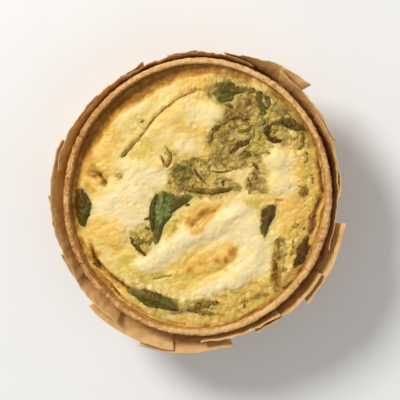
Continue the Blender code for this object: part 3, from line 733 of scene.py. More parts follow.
def leaf_outline(spec, count=240):
    """The outline as angle and radius round the leaf's middle, a little ragged."""
    ring = spline(spec["outline"], count * 2, closed=True) - np.array(spec["centre"])
    angle = np.arctan2(ring[:, 1], ring[:, 0])
    radius = np.hypot(ring[:, 0], ring[:, 1])
    order = np.argsort(angle)
    grid = np.linspace(-math.pi, math.pi, count, endpoint=False)
    smooth = np.interp(grid, angle[order], radius[order], period=2 * math.pi)
    seed = spec["centre"][0] * 3.1 + spec["centre"][1]
    cx, cy = 3.0 * np.cos(grid), 3.0 * np.sin(grid)
    torn = spec.get("torn", 1.0)
    ragged = 0.15 * fbm(N_LEAF, cx + seed, cy, 1.6, 3) + 0.07 * torn * fbm(N_LEAF, cx * 2.5, cy * 2.5 - seed, 1.0, 2)
    if torn > 1:
        ragged = ragged + 0.055 * torn * fbm(N_LEAF, cx * 2.0 + 31, cy * 2.0 + seed, 1.1, 3, 0.7)
    bites = np.clip(fbm(N_LEAF, cx - seed, cy + seed, 0.9, 2) - 0.30, 0, 1) * 0.9
    return grid, smooth * (1 + ragged - bites)


for made in PATCHES.values():
    made["polar"] = leaf_outline(made)


def leaf_share(spec, x, y):
    """0 in a leaf's middle, 1 on its outline, more outside it."""
    dx, dy = x - spec["centre"][0], y - spec["centre"][1]
    grid, radius = spec["polar"]
    reach = np.interp(np.arctan2(dy, dx), grid, radius, period=2 * math.pi)
    return np.hypot(dx, dy) / reach


def strongest(x, y, table, sharp):
    """The largest of a table's places at each point: x, y, half length, half width, turn, ..., strength."""
    total = x * 0.0
    for row in table:
        total = np.maximum(total, row[-1] * blob(x, y, *row[:5], sharp))
    return total


def turned(x, y, degrees, stretch):
    """Places in a frame turned by that angle and drawn out along it."""
    c, s = math.cos(math.radians(degrees)), math.sin(math.radians(degrees))
    return (x * c + y * s) / stretch, y * c - x * s


def ground(x, y):
    """What the relief and the colours are both worked out from."""
    wx, wy = warped(x, y)
    zx = wx + 0.7 * fbm(N_EDGE, x + 60, y, 2.6, 3)
    zy = wy + 0.7 * fbm(N_EDGE, x, y + 60, 2.6, 3)
    r = np.hypot(x, y)
    degrees = np.degrees(np.arctan2(y, x))
    olive = zones(zx, zy, OLIVE) * (1 - zones(zx, zy, PALE))
    white = zones(zx, zy, WHITE)
    rim_side = smoothstep(31.0, 40.0, r) * smoothstep(-142, -112, degrees) * (1 - smoothstep(58, 84, degrees))
    lumpy = np.clip(np.maximum(0.9 * olive, 0.8 * rim_side) + 0.5 * blob(x, y, -36.5, 7.0, 5.0, 3.5, 0), 0, 1)
    cx = wx + 1.3 * fbm(N_EDGE, x - 20, y, 5.0, 3)
    cy = wy + 1.3 * fbm(N_EDGE, x, y - 20, 5.0, 3)
    first, second = cells(cx, cy, 3.6, 41)
    small_first, small_second = cells(cx * 1.1 + 90, cy, 1.9, 43)
    # strands of leaf and onion just under the skin, in two directions
    u, v = turned(zx, zy, 42, 2.1)
    one = fbm(N_MARK, u, v, 4.2, 2)
    u, v = turned(zx, zy, -28, 2.1)
    two = fbm(N_MARK, u + 55, v, 4.6, 2)
    broken = smoothstep(-0.12, 0.12, fbm(N_MARK, x + 140, y, 5.0, 2))
    strand = np.maximum(np.exp(-((one / 0.075) ** 2)) * broken, np.exp(-((two / 0.070) ** 2)) * (1 - 0.75 * broken))
    under = smoothstep(0.02, 0.26, fbm(N_MARK, zx - 140, zy, 5.6, 3))
    return dict(wx=wx, wy=wy, zx=zx, zy=zy, r=r, olive=olive, white=white, lumpy=lumpy,
                gap=(second - first) / 3.6, small=(small_second - small_first) / 1.9, dome=first / 3.6,
                strand=strand, under=under)


def covered(x, y):
    """Where a thin skin of custard has run over the leaves, 0 to 1."""
    return smoothstep(0.16, 0.34, fbm(N_MARK, x + 12, y - 31, 5.2, 3))


def relief(x, y, g):
    """The baked surface's own ups and downs in mm."""
    wx, wy = g["wx"], g["wy"]
    height = x * 0.0
    for cx, cy, a, b, turn, h in CURDS:
        height = height + 1.25 * h * blob(wx, wy, cx, cy, a, b, turn, 1.6)
    for points, half, h in RIDGES:
        d, along = to_line(wx, wy, points)
        ends = smoothstep(0, 0.12, along) * (1 - smoothstep(0.88, 1, along)) * 0.5 + 0.5
        height = height + 1.25 * h * ends * np.exp(-((d / half) ** 2.8))
    # soft swellings, with winding folds between them along the way the custard ran
    height = height + 0.55 * fbm(N_BROAD, wx, wy, 11.0, 2)
    u, v = turned(wx, wy, 33, 1.7)
    fold = fbm(N_WARP_X, u + 200, v, 7.5, 3)
    deep = np.clip(0.45 + 1.3 * fbm(N_MARK, x - 77, y, 14.0, 2), 0.0, 1.2)
    calm = 1 - 0.45 * np.clip(g["white"], 0, 1)
    height = height + 0.44 * calm * deep * (smoothstep(0.0, 0.30, np.abs(fold)) - 0.70)
    u, v = turned(wx, wy, 20, 1.4)
    pucker = fbm(N_WARP_Y, u - 200, v, 3.2, 3)
    height = height + 0.17 * calm * np.clip(1.1 - deep, 0.15, 1) * (smoothstep(0.0, 0.30, np.abs(pucker)) - 0.65)
    height = height + 0.38 * g["lumpy"] * (smoothstep(0.0, 0.42, g["gap"]) - 0.45 - 0.35 * g["dome"])
    height = height + 0.16 * g["lumpy"] * (smoothstep(0.0, 0.5, g["small"]) - 0.5)
    height = height + 0.09 * calm * fbm(N_FINE, x, y, 1.5, 3)
    height = height + g["olive"] * (-0.35 + 0.42 * g["strand"] + 0.16 * g["under"] + 0.35 * fbm(N_FINE, x + 30, y, 2.6, 3))
    return height


def custard_height(x, y, imprint=True, parts=False):
    """Height of the baked surface in mm, at places in mm."""
    x, y = np.asarray(x, float), np.asarray(y, float)
    g = ground(x, y)
    r = g["r"]
    angle = np.arctan2(y, x)
    share = np.minimum(r / (FILL_EDGE + bulge(angle, 33.9)), 1.0)
    own = relief(x, y, g) * (1 - 0.65 * smoothstep(0.90, 0.985, share))
    height = FILL_LEVEL + FILL_DOME * (1 - share**2) - 0.25 + own
    wavering = strayed(x, y)
    for points, half, depth, _ in GROOVES:
        d, along = to_line(*wavering, points)
        ends = smoothstep(0, 0.15, along) * (1 - smoothstep(0.85, 1, along)) * 0.6 + 0.4
        height = height - depth * ends * np.exp(-((d / half) ** 2))
        height = height + 0.16 * depth * ends * np.exp(-(((d - 1.9 * half) / (0.9 * half)) ** 2))
    # the edge: a rounded shoulder, drawn down and away from the wall
    back = drawn_back(angle)
    from_wall = wall_gap(x, y, angle)
    width = 0.46 + 4.25 * back
    depth = (0.9 + 1.3 * back) * np.clip(0.55 + back + 1.2 * fbm(N_EDGE, x + 31, y - 8, 6.0, 2), 0.15, 1.0)
    height = height - (0.35 + 0.50 * back) * smoothstep(9.0, 0.0, from_wall)
    height = height - depth * smoothstep(width + 0.8, width * 0.45, from_wall)
    if imprint:
        height = height + imprints(x, y)
    return (height, own, g) if parts else height


def imprints(x, y):
    """How the leaves lie in the surface: a hollow under each and a lip round it."""
    over, change = covered(x, y), 0.0 * x
    lip = np.clip(0.5 + 1.2 * fbm(N_EDGE, x + 11, y, 3.0, 2), 0, 1.2)
    for spec in PATCHES.values():
        s = leaf_share(spec, x, y)
        change = change - 0.80 * (1 - smoothstep(0.60, 0.95, s)) * (1 - over * spec["cover"])
        change = change + 0.24 * lip * np.exp(-(((s - 1.10) / 0.12) ** 2))
    return change


def bubbles():
    """Small open bubbles in the custard: x, y, radius, depth."""
    rng = np.random.default_rng(21)
    made = []
    while len(made) < 150:
        r, a = 44.5 * math.sqrt(rng.uniform()), rng.uniform(0, 2 * math.pi)
        x, y = r * math.cos(a), r * math.sin(a)
        if any(leaf_share(s, np.array(x), np.array(y)) < 1.1 for s in PATCHES.values()):
            continue
        size = 0.35 + 0.65 * rng.uniform() ** 2.5
        made.append((x, y, size, size * rng.uniform(0.20, 0.55)))
    return made


BUBBLES = bubbles()
SKIN = Raster(lambda x, y: custard_height(x, y, imprint=False), step=0.25)

print("scene: tables ready")


# ---------------------------------------------------------------- materials


class Surface:
    """A node-based material, put together a node at a time."""

    def __init__(self, name, roughness=0.5, **sockets):
        self.material = bpy.data.materials.new(name)
        self.material.use_nodes = True
        self.tree = self.material.node_tree
        self.shader = self.tree.nodes["Principled BSDF"]
        self.shader.inputs["Roughness"].default_value = roughness
        for socket, value in sockets.items():
            self.shader.inputs[socket.replace("_", " ")].default_value = value
        self.place = self.node("ShaderNodeTexCoord").outputs["Object"]

    def node(self, kind, **settings):
        made = self.tree.nodes.new(kind)
        for key, value in settings.items():
            setattr(made, key, value)
        return made

    def put(self, value, socket):
        if isinstance(value, bpy.types.NodeSocket):
            self.tree.links.new(value, socket)
        else:
            socket.default_value = value

    def stretched(self, scale):
        made = self.node("ShaderNodeMapping")
        self.put(self.place, made.inputs["Vector"])
        made.inputs["Scale"].default_value = scale
        return made.outputs["Vector"]

    def noise(self, size_mm, detail=3.0, roughness=0.5, distortion=0.0, where=None, offset=0.0):
        made = self.node("ShaderNodeTexNoise", noise_dimensions="4D")
        self.put(where if where is not None else self.place, made.inputs["Vector"])
        made.inputs["W"].default_value = offset
        made.inputs["Scale"].default_value = 1000.0 / size_mm
        made.inputs["Detail"].default_value = detail
        made.inputs["Roughness"].default_value = roughness
        made.inputs["Distortion"].default_value = distortion
        return made.outputs["Fac"]

    def cells(self, size_mm, feature="F1", where=None, randomness=1.0, output="Distance"):
        made = self.node("ShaderNodeTexVoronoi", feature=feature)
        self.put(where if where is not None else self.place, made.inputs["Vector"])
        made.inputs["Scale"].default_value = 1000.0 / size_mm
        made.inputs["Randomness"].default_value = randomness
        return made.outputs[output]

    def mark(self, name):
        made = self.node("ShaderNodeAttribute", attribute_name=name)
        return made.outputs["Fac"]

    def math(self, operation, a, b=None, clamp=False):
        made = self.node("ShaderNodeMath", operation=operation, use_clamp=clamp)
        self.put(a, made.inputs[0])
        if b is not None:
            self.put(b, made.inputs[1])
        return made.outputs[0]

    def span(self, value, low, high, to_low=0.0, to_high=1.0, smooth=True):
        made = self.node("ShaderNodeMapRange", interpolation_type="SMOOTHSTEP" if smooth else "LINEAR")
        self.put(value, made.inputs["Value"])
        for socket, number in (("From Min", low), ("From Max", high), ("To Min", to_low), ("To Max", to_high)):
            made.inputs[socket].default_value = number
        return made.outputs["Result"]

    def mix(self, share, a, b, kind="MIX"):
        made = self.node("ShaderNodeMix", data_type="RGBA", blend_type=kind)
        self.put(share, made.inputs[0])
        for value, index in ((a, 6), (b, 7)):
            if not isinstance(value, bpy.types.NodeSocket):
                value = (*value, 1.0)
            self.put(value, made.inputs[index])
        return made.outputs[2]

    def ramp(self, value, *stops):
        made = self.node("ShaderNodeValToRGB")
        self.put(value, made.inputs["Fac"])
        elements = made.color_ramp.elements
        while len(elements) < len(stops):
            elements.new(0.5)
        for element, (position, colour) in zip(elements, stops):
            element.position = position
            element.color = (*colour, 1.0)
        return made.outputs["Color"]

    def bump(self, height, distance_mm, strength=1.0, after=None):
        made = self.node("ShaderNodeBump")
        made.inputs["Strength"].default_value = strength
        made.inputs["Distance"].default_value = distance_mm * MM
        self.put(height, made.inputs["Height"])
        if after is not None:
            self.put(after, made.inputs["Normal"])
        return made.outputs["Normal"]

    def finish(self, colour, roughness=None, normal=None):
        self.put(colour, self.shader.inputs["Base Color"])
        if roughness is not None:
            self.put(roughness, self.shader.inputs["Roughness"])
        if normal is not None:
            self.put(normal, self.shader.inputs["Normal"])
        return self.material


def srgb(r, g, b):
    """A colour as seen on a screen, 0 to 255, as the linear values that shaders use."""
    return tuple(c / 12.92 if c <= 0.04045 else ((c + 0.055) / 1.055) ** 2.4 for c in (r / 255, g / 255, b / 255))


def custard_material():
    m = Surface("custard_baked", Subsurface_Weight=0.22, Subsurface_Scale=0.0022, IOR=1.42)
    m.shader.inputs["Subsurface Radius"].default_value = (1.0, 0.62, 0.28)
    broad = m.noise(9.0, 3, 0.55)
    mottle = m.noise(2.6, 4, 0.6, 0.4, offset=1.0)
    fine = m.noise(0.8, 3, 0.6, offset=2.0)
    patchy = m.math("ADD", m.math("MULTIPLY", mottle, 0.7), m.math("MULTIPLY", broad, 0.3))
    cream = m.mix(m.span(mottle, 0.36, 0.66), srgb(246, 218, 142), srgb(236, 202, 112))
    cream = m.mix(m.span(broad, 0.42, 0.62, 0.0, 0.65), cream, srgb(238, 202, 104))
    def share(name, low=0.14, high=0.88, wander=0.46):
        """A mark with a border made uneven by the mottling."""
        shifted = m.math("ADD", m.mark(name), m.span(patchy, 0.34, 0.66, -wander / 2, wander / 2, smooth=False))
        return m.span(shifted, low, high)
    colour = m.mix(m.math("MULTIPLY", share("gold"), 0.92), cream, m.mix(m.span(fine, 0.35, 0.65), srgb(239, 196, 98), srgb(226, 180, 76)))
    colour = m.mix(m.math("MULTIPLY", share("lemon"), 0.88), colour, m.mix(m.span(mottle, 0.38, 0.62), srgb(228, 200, 98), srgb(206, 174, 68)))
    white = m.mix(m.span(mottle, 0.36, 0.66), srgb(246, 227, 178), srgb(242, 215, 152))
    white = m.mix(m.span(m.noise(6.5, 3, 0.55, 0.3, offset=11.0), 0.46, 0.66, 0.0, 0.75), white, srgb(250, 222, 168))
    white = m.mix(m.span(m.noise(7.5, 3, 0.55, 0.3, offset=12.0), 0.48, 0.66, 0.0, 0.50), white, srgb(242, 226, 144))
    colour = m.mix(m.math("MULTIPLY", share("white"), 0.94), colour, white)
    flecked = m.span(m.noise(1.7, 3, 0.6, 0.6, offset=3.0), 0.36, 0.64)
    olive_colour = m.mix(flecked, srgb(206, 176, 82), srgb(166, 134, 48))
    olive_colour = m.mix(m.math("MULTIPLY", share("lemon"), 0.60), olive_colour, m.mix(flecked, srgb(204, 178, 74), srgb(176, 150, 50)))
    colour = m.mix(m.math("MULTIPLY", share("olive", wander=0.35), 0.92), colour, olive_colour)
    colour = m.mix(m.math("MULTIPLY", share("under", 0.25, 0.70), 0.66), colour, m.mix(m.span(mottle, 0.38, 0.62), srgb(150, 128, 54), srgb(122, 94, 32)))
    # browning comes in mottled, and darkest on the high places
    raw = m.math("MULTIPLY", m.mark("brown"), m.span(patchy, 0.34, 0.64, 0.62, 1.25))
    leafy = m.span(m.mark("olive"), 0.2, 0.7)
    colour = m.mix(m.span(raw, 0.10, 0.45, 0.0, 0.90), colour, m.mix(leafy, srgb(220, 166, 64), srgb(176, 140, 66)))
    colour = m.mix(m.span(raw, 0.38, 0.80, 0.0, 0.95), colour, m.mix(leafy, srgb(184, 130, 36), srgb(146, 106, 44)))
    colour = m.mix(m.math("MULTIPLY", m.span(raw, 0.75, 1.15), m.span(fine, 0.40, 0.60, 0.35, 1.0)), colour, srgb(146, 94, 16))
    # browning near the rim, and painted shade at the lower right
    rim_browning_and_shade = m.math("MULTIPLY", m.mark("rim_browning_and_shade"), m.span(patchy, 0.36, 0.62, 0.35, 1.0))
    colour = m.mix(m.math("MULTIPLY", rim_browning_and_shade, 0.75), colour, m.mix(m.span(broad, 0.4, 0.6), srgb(222, 180, 80), srgb(204, 166, 76)))
    # small golden freckles all over
    freckle = m.math("MULTIPLY", m.span(fine, 0.60, 0.74), m.span(m.noise(5.0, 2, 0.5, offset=5.0), 0.45, 0.62))
    colour = m.mix(m.math("MULTIPLY", freckle, 0.45), colour, srgb(204, 152, 58))
    # painted shade in the crevices between the small curds
    colour = m.mix(m.math("MULTIPLY", m.mark("crevice_shade"), 0.70), colour, m.mix(m.span(mottle, 0.4, 0.6), srgb(180, 140, 46), srgb(140, 102, 24)))
    # tint of the leaves round their borders, and painted shadow beside them
    colour = m.mix(m.mark("leaf_tint_and_shadow"), colour, m.mix(m.span(mottle, 0.35, 0.65), srgb(204, 186, 104), srgb(162, 146, 64)))
    strand = m.span(m.math("MULTIPLY", m.mark("strand"), m.span(mottle, 0.30, 0.60, 0.55, 1.2)), 0.25, 0.75)
    colour = m.mix(m.math("MULTIPLY", strand, 0.72), colour, m.mix(m.span(broad, 0.40, 0.60), srgb(132, 108, 40), srgb(102, 76, 22)))
    # browning, and painted shade in the gap by the wall and in the cracks
    dark = m.math("MULTIPLY", m.mark("dark"), m.span(mottle, 0.2, 0.6, 0.80, 1.0), clamp=True)
    colour = m.mix(dark, colour, m.mix(m.span(mottle, 0.38, 0.62), srgb(206, 146, 52), srgb(172, 112, 24)))
    colour = m.mix(m.span(m.mark("dark"), 0.85, 1.45), colour, m.mix(m.span(fine, 0.38, 0.62), srgb(138, 86, 18), srgb(112, 66, 10)))
    wet = m.noise(3.4, 3, 0.55, offset=7.0)
    rough = m.span(wet, 0.34, 0.64, 0.30, 0.52)
    height = m.math("ADD", m.noise(0.55, 4, 0.62, offset=8.0), m.math("MULTIPLY", m.noise(1.5, 3, 0.55, 0.5, offset=9.0), 1.6))
    normal = m.bump(height, 0.16, 0.85)
    return m.finish(colour, rough, normal)


def pastry_material():
    m = Surface("pastry_baked", Subsurface_Weight=0.06, Subsurface_Scale=0.001)
    m.shader.inputs["Subsurface Radius"].default_value = (1.0, 0.6, 0.3)
    layers = m.stretched((1.0, 1.0, 2.2))
    broad = m.noise(8.0, 3, 0.55)
    mottle = m.noise(1.9, 4, 0.62, 0.5, where=layers, offset=1.0)
    fine = m.noise(0.55, 3, 0.6, where=layers, offset=2.0)
    light = m.mix(m.span(mottle, 0.34, 0.66), srgb(234, 192, 126), srgb(214, 166, 98))
    light = m.mix(m.span(broad, 0.42, 0.64, 0.0, 0.6), light, srgb(220, 172, 102))
    colour = m.mix(m.math("MULTIPLY", m.span(fine, 0.54, 0.68), 0.6), light, srgb(194, 138, 70))
    # browning, and painted shade on the inner wall, in the hollows and on the rim's right
    toast = m.math("ADD", m.mark("toast"), m.span(mottle, 0.25, 0.75, -0.16, 0.16), clamp=True)
    colour = m.mix(m.span(toast, 0.14, 0.58), colour, m.mix(m.span(mottle, 0.4, 0.6), srgb(204, 150, 80), srgb(180, 122, 54)))
    colour = m.mix(m.span(toast, 0.55, 1.0), colour, m.mix(m.span(fine, 0.4, 0.6), srgb(152, 96, 30), srgb(114, 68, 14)))
    # flour and fat leave pale flecks
    colour = m.mix(m.math("MULTIPLY", m.span(m.noise(0.9, 2, 0.5, offset=4.0), 0.63, 0.74), 0.55), colour, srgb(240, 212, 164))
    rough = m.span(m.noise(2.2, 3, 0.5, offset=5.0), 0.35, 0.65, 0.48, 0.72)
    height = m.math("ADD", fine, m.math("MULTIPLY", mottle, 1.8))
    return m.finish(colour, rough, m.bump(height, 0.20, 0.9))


def spinach_material():
    m = Surface("spinach_cooked", Subsurface_Weight=0.08, Subsurface_Scale=0.0008, IOR=1.38)
    m.shader.inputs["Subsurface Radius"].default_value = (0.8, 1.0, 0.3)
    m.shader.inputs["Specular IOR Level"].default_value = 0.27
    m.shader.inputs["Coat Weight"].default_value = 0.04
    m.shader.inputs["Coat Roughness"].default_value = 0.25
    mottle = m.noise(1.8, 4, 0.6, 0.5)
    fine = m.noise(0.5, 3, 0.6, offset=1.0)
    tone = m.math("ADD", m.mark("tone"), m.span(mottle, 0.3, 0.7, -0.20, 0.20), clamp=True)
    colour = m.ramp(
        tone,
        (0.00, srgb(84, 40, 2)), (0.20, srgb(86, 54, 3)), (0.40, srgb(86, 70, 6)),
        (0.62, srgb(74, 76, 20)), (0.82, srgb(82, 92, 36)), (1.00, srgb(122, 134, 72)),
    )
    colour = m.mix(m.math("MULTIPLY", m.span(fine, 0.52, 0.70), 0.45), colour, srgb(118, 112, 44))
    colour = m.mix(m.math("MULTIPLY", m.mark("vein"), 0.5), colour, srgb(132, 132, 66))
    film = m.math("MULTIPLY", m.mark("film"), m.span(m.noise(1.3, 3, 0.6, 0.8, offset=3.0), 0.32, 0.62, 0.15, 1.30), clamp=True)
    colour = m.mix(film, colour, m.mix(m.span(fine, 0.4, 0.6), srgb(206, 176, 86), srgb(168, 138, 50)))
    rough = m.span(m.noise(1.2, 3, 0.5, offset=5.0), 0.3, 0.7, 0.38, 0.62)
    height = m.math("ADD", fine, m.math("MULTIPLY", m.noise(1.0, 3, 0.6, 0.4, offset=6.0), 1.5))
    return m.finish(colour, rough, m.bump(height, 0.14, 0.8))


def onion_and_highlight_material():
    m = Surface("onion_softened_and_highlights", Subsurface_Weight=0.15, Subsurface_Scale=0.001, IOR=1.4)
    m.shader.inputs["Subsurface Radius"].default_value = (1.0, 0.8, 0.5)
    m.shader.inputs["Coat Weight"].default_value = 0.2
    m.shader.inputs["Coat Roughness"].default_value = 0.2
    mottle = m.noise(1.6, 3, 0.6, 0.3)
    lines = m.noise(0.5, 2, 0.5, where=m.stretched((0.35, 1.0, 1.0)), offset=2.0)
    colour = m.mix(m.span(mottle, 0.35, 0.65), srgb(208, 178, 112), srgb(184, 150, 82))
    colour = m.mix(m.math("MULTIPLY", m.mark("tone"), 0.9), colour, srgb(140, 112, 50))
    colour = m.mix(m.math("MULTIPLY", m.span(lines, 0.5, 0.7), 0.4), colour, srgb(214, 190, 136))
    rough = m.span(mottle, 0.3, 0.7, 0.32, 0.50)
    return m.finish(colour, rough, m.bump(lines, 0.08, 0.7))


def paper_material():
    m = Surface("baking_paper", Subsurface_Weight=0.10, Subsurface_Scale=0.0006)
    m.shader.inputs["Subsurface Radius"].default_value = (1.0, 0.7, 0.4)
    broad = m.noise(14.0, 3, 0.5)
    cloud = m.noise(3.2, 4, 0.6, 0.3, offset=1.0)
    fibre = m.noise(0.45, 3, 0.65, where=m.stretched((1.0, 1.0, 0.45)), offset=2.0)
    colour = m.mix(m.span(cloud, 0.34, 0.66), srgb(226, 186, 122), srgb(212, 170, 106))
    colour = m.mix(m.span(broad, 0.42, 0.62, 0.0, 0.6), colour, srgb(204, 160, 98))
    colour = m.mix(m.math("MULTIPLY", m.span(fibre, 0.52, 0.70), 0.35), colour, srgb(234, 200, 142))
    # darker where grease has soaked in, and painted shade on a few tabs
    grease_and_shade = m.math("ADD", m.mark("grease_and_shade"), m.span(cloud, 0.3, 0.7, -0.07, 0.07), clamp=True)
    colour = m.mix(m.span(grease_and_shade, 0.05, 0.95, 0.0, 0.90, smooth=False), colour, m.mix(m.span(broad, 0.36, 0.64), srgb(188, 140, 80), srgb(168, 118, 60)))
    colour = m.mix(m.math("MULTIPLY", m.mark("crease"), 0.55), colour, srgb(228, 194, 140))
    rough = m.span(grease_and_shade, 0.25, 0.7, 0.66, 0.42)
    height = m.math("ADD", fibre, m.math("MULTIPLY", m.noise(1.4, 3, 0.5, offset=4.0), 0.8))
    return m.finish(colour, rough, m.bump(height, 0.07, 0.7))


custard_surface = custard_material()
pastry_surface = pastry_material()
spinach_surface = spinach_material()
onion_and_highlight_surface = onion_and_highlight_material()
paper_surface = paper_material()


# ---------------------------------------------------------------- the filling


def filling_marks(x, y, own, g):
    """How white, golden, brown, olive and so on each place of the surface is."""
    wx, wy, zx, zy, r = g["wx"], g["wy"], g["zx"], g["zy"], g["r"]
    angle = np.arctan2(y, x)
    white = g["white"]
    gold = zones(zx, zy, GOLD)
    lemon = zones(zx, zy, LEMON)
    brown = strongest(zx, zy, BROWN, 1.3)
    olive = g["olive"]
    # the folds are painted more golden and the swellings paler: painted shade in the folds, painted light on the tops
    gold = np.maximum(gold, 0.70 * smoothstep(0.05, -0.80, own))
    white = np.maximum(white, 0.36 * smoothstep(0.70, 1.6, own))
    back = drawn_back(angle)
    from_wall = wall_gap(x, y, angle)
    # the baked edge is golden, and the shrunk side of it brown: browning, and painted shade in the gap by the wall
    gold = np.maximum(gold, smoothstep(7.0, 2.0, from_wall) * (0.42 + 0.5 * fbm(N_MARK, x, y, 5.0, 2)) * (1 - 0.8 * smoothstep(0.3, 0.8, back)))
    width = 0.46 + 4.25 * back
    # elsewhere the brown line along the wall comes and goes: browning, and painted shade in the narrow gap
    broken = np.clip(0.20 + 1.6 * back + 1.7 * fbm(N_EDGE, x + 31, y - 8, 6.0, 3), 0.0, 1.0)
    dark = smoothstep(width + 0.9, width * 0.70, from_wall) * broken * (0.85 + 0.15 * back)
    # the cracks are painted dark too: browning, and painted shade in them
    wavering = strayed(x, y)
    for points, half, _, darkness in GROOVES:
        d, along = to_line(*wavering, points)
        ends = smoothstep(0, 0.15, along) * (1 - smoothstep(0.85, 1, along)) * 0.6 + 0.4
        dark = np.maximum(dark, darkness * ends * np.exp(-((d / (half * 0.95)) ** 2)))
    # painted shade between the small curds where it is rough
    crevice_shade = np.maximum(smoothstep(0.18, 0.02, g["gap"]), 0.5 * smoothstep(0.14, 0.0, g["small"]))
    uneven = np.clip(0.40 + 1.6 * fbm(N_MARK, x + 5, y + 66, 6.0, 3), 0, 1)
    crevice_shade = crevice_shade * np.clip(g["lumpy"] * uneven, 0, 1)
    # custard tinted by the leaves round their borders, and painted shadow beside them, widest round the middle leaf
    leaf_tint_and_shadow = x * 0
    for name, spec in PATCHES.items():
        s = leaf_share(spec, x, y)
        reach = 0.40 if name == "spinach_leaf_middle" else 0.22
        ragged = 0.25 * fbm(N_EDGE, x, y, 3.0, 2)
        leaf_tint_and_shadow = np.maximum(leaf_tint_and_shadow, 0.60 * (1 - smoothstep(0.98, 1.0 + reach, s + ragged)))
    degrees = np.degrees(angle)
    # darker near the rim, most at the lower right: browning of the edge, and painted shade on the side away from the
    # key light
    lower_right = np.clip(0.45 + 0.55 * np.cos(np.radians(degrees + 45)), 0, 1)
    rim_browning_and_shade = smoothstep(37.0, 46.0, r + 2.5 * fbm(N_MARK, x + 210, y, 7.0, 3)) * (0.45 + 0.55 * lower_right)
    rim_browning_and_shade = rim_browning_and_shade * (1 - 0.8 * np.clip(olive, 0, 1))
    white = white * (1 - np.clip(1.2 * brown, 0, 1)) * (1 - 0.9 * olive) * (1 - 0.6 * np.clip(dark, 0, 1))
    strand = g["strand"] * np.clip(olive * 1.15, 0, 1) * (1 - 0.75 * smoothstep(35.0, 40.0, y))
    under = g["under"] * olive
    return dict(white=white, gold=gold, brown=np.clip(brown, 0, 1.3), olive=olive, lemon=lemon, leaf_tint_and_shadow=leaf_tint_and_shadow,
                dark=dark, crevice_shade=crevice_shade, strand=strand, under=under, rim_browning_and_shade=rim_browning_and_shade)


def make_filling():
    n = 301
    ux, uy = disc_grid(n)
    reach = FILL_EDGE + bulge(np.arctan2(uy, ux), 33.9)
    x, y = ux * reach, uy * reach
    z, own, g = custard_height(x, y, parts=True)
    for bx, by, size, deep in BUBBLES:
        q = ((x - bx) ** 2 + (y - by) ** 2) / size**2
        near = q < 6
        z[near] -= deep * np.exp(-(q[near] ** 1.6))
        z[near] += 0.04 * deep * np.exp(-((np.sqrt(q[near]) - 1.35) ** 2) / 0.08)
    marks = filling_marks(x, y, own, g)
    # the border runs down inside the pastry and closes underneath
    ring = np.concatenate([
        np.arange(n), np.arange(1, n) * n + n - 1,
        (n - 1) * n + np.arange(n - 2, -1, -1), np.arange(n - 2, 0, -1) * n,
    ])
    angle = np.arctan2(y.ravel()[ring], x.ravel()[ring])
    floor = FOOT_Z + PASTRY_BASE + 0.12
    points = [np.stack([x, y, z], -1).reshape(-1, 3)]
    for level, radius in ((24.0, inner_radius(24.0) - 0.12), (12.0, inner_radius(12.0) - 0.12),
                          (floor + 2.0, inner_radius(floor) - 1.6), (floor, inner_radius(floor) - 4.2)):
        radius = radius + bulge(angle, level)
        points.append(np.stack([radius * np.cos(angle), radius * np.sin(angle), np.full(len(ring), level)], -1))
    points.append(np.array([[0, 0, floor]]))
    count = len(ring)
    faces = [grid_faces(n, n)]
    upper = ring
    start = n * n
    for _ in range(4):
        lower = start + np.arange(count)
        faces.append(np.stack([upper, lower, np.roll(lower, -1), np.roll(upper, -1)], -1))
        upper, start = lower, start + count
    centre = start
    triangles = np.stack([upper, np.full(count, centre), np.roll(upper, -1)], -1)
    # the sides down inside the pastry are painted dark, as shade in the gap by the wall
    for key in marks:
        low = np.zeros(count * 4 + 1) + (1.0 if key == "dark" else 0.0)
        marks[key] = np.concatenate([marks[key].ravel(), low])
    obj = new_mesh("custard_filling", np.concatenate(points), [np.concatenate(faces), triangles], custard_surface, marks=marks)
    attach(obj, "root")
    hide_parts("filling")
    return obj


# ---------------------------------------------------------------- the pastry shell


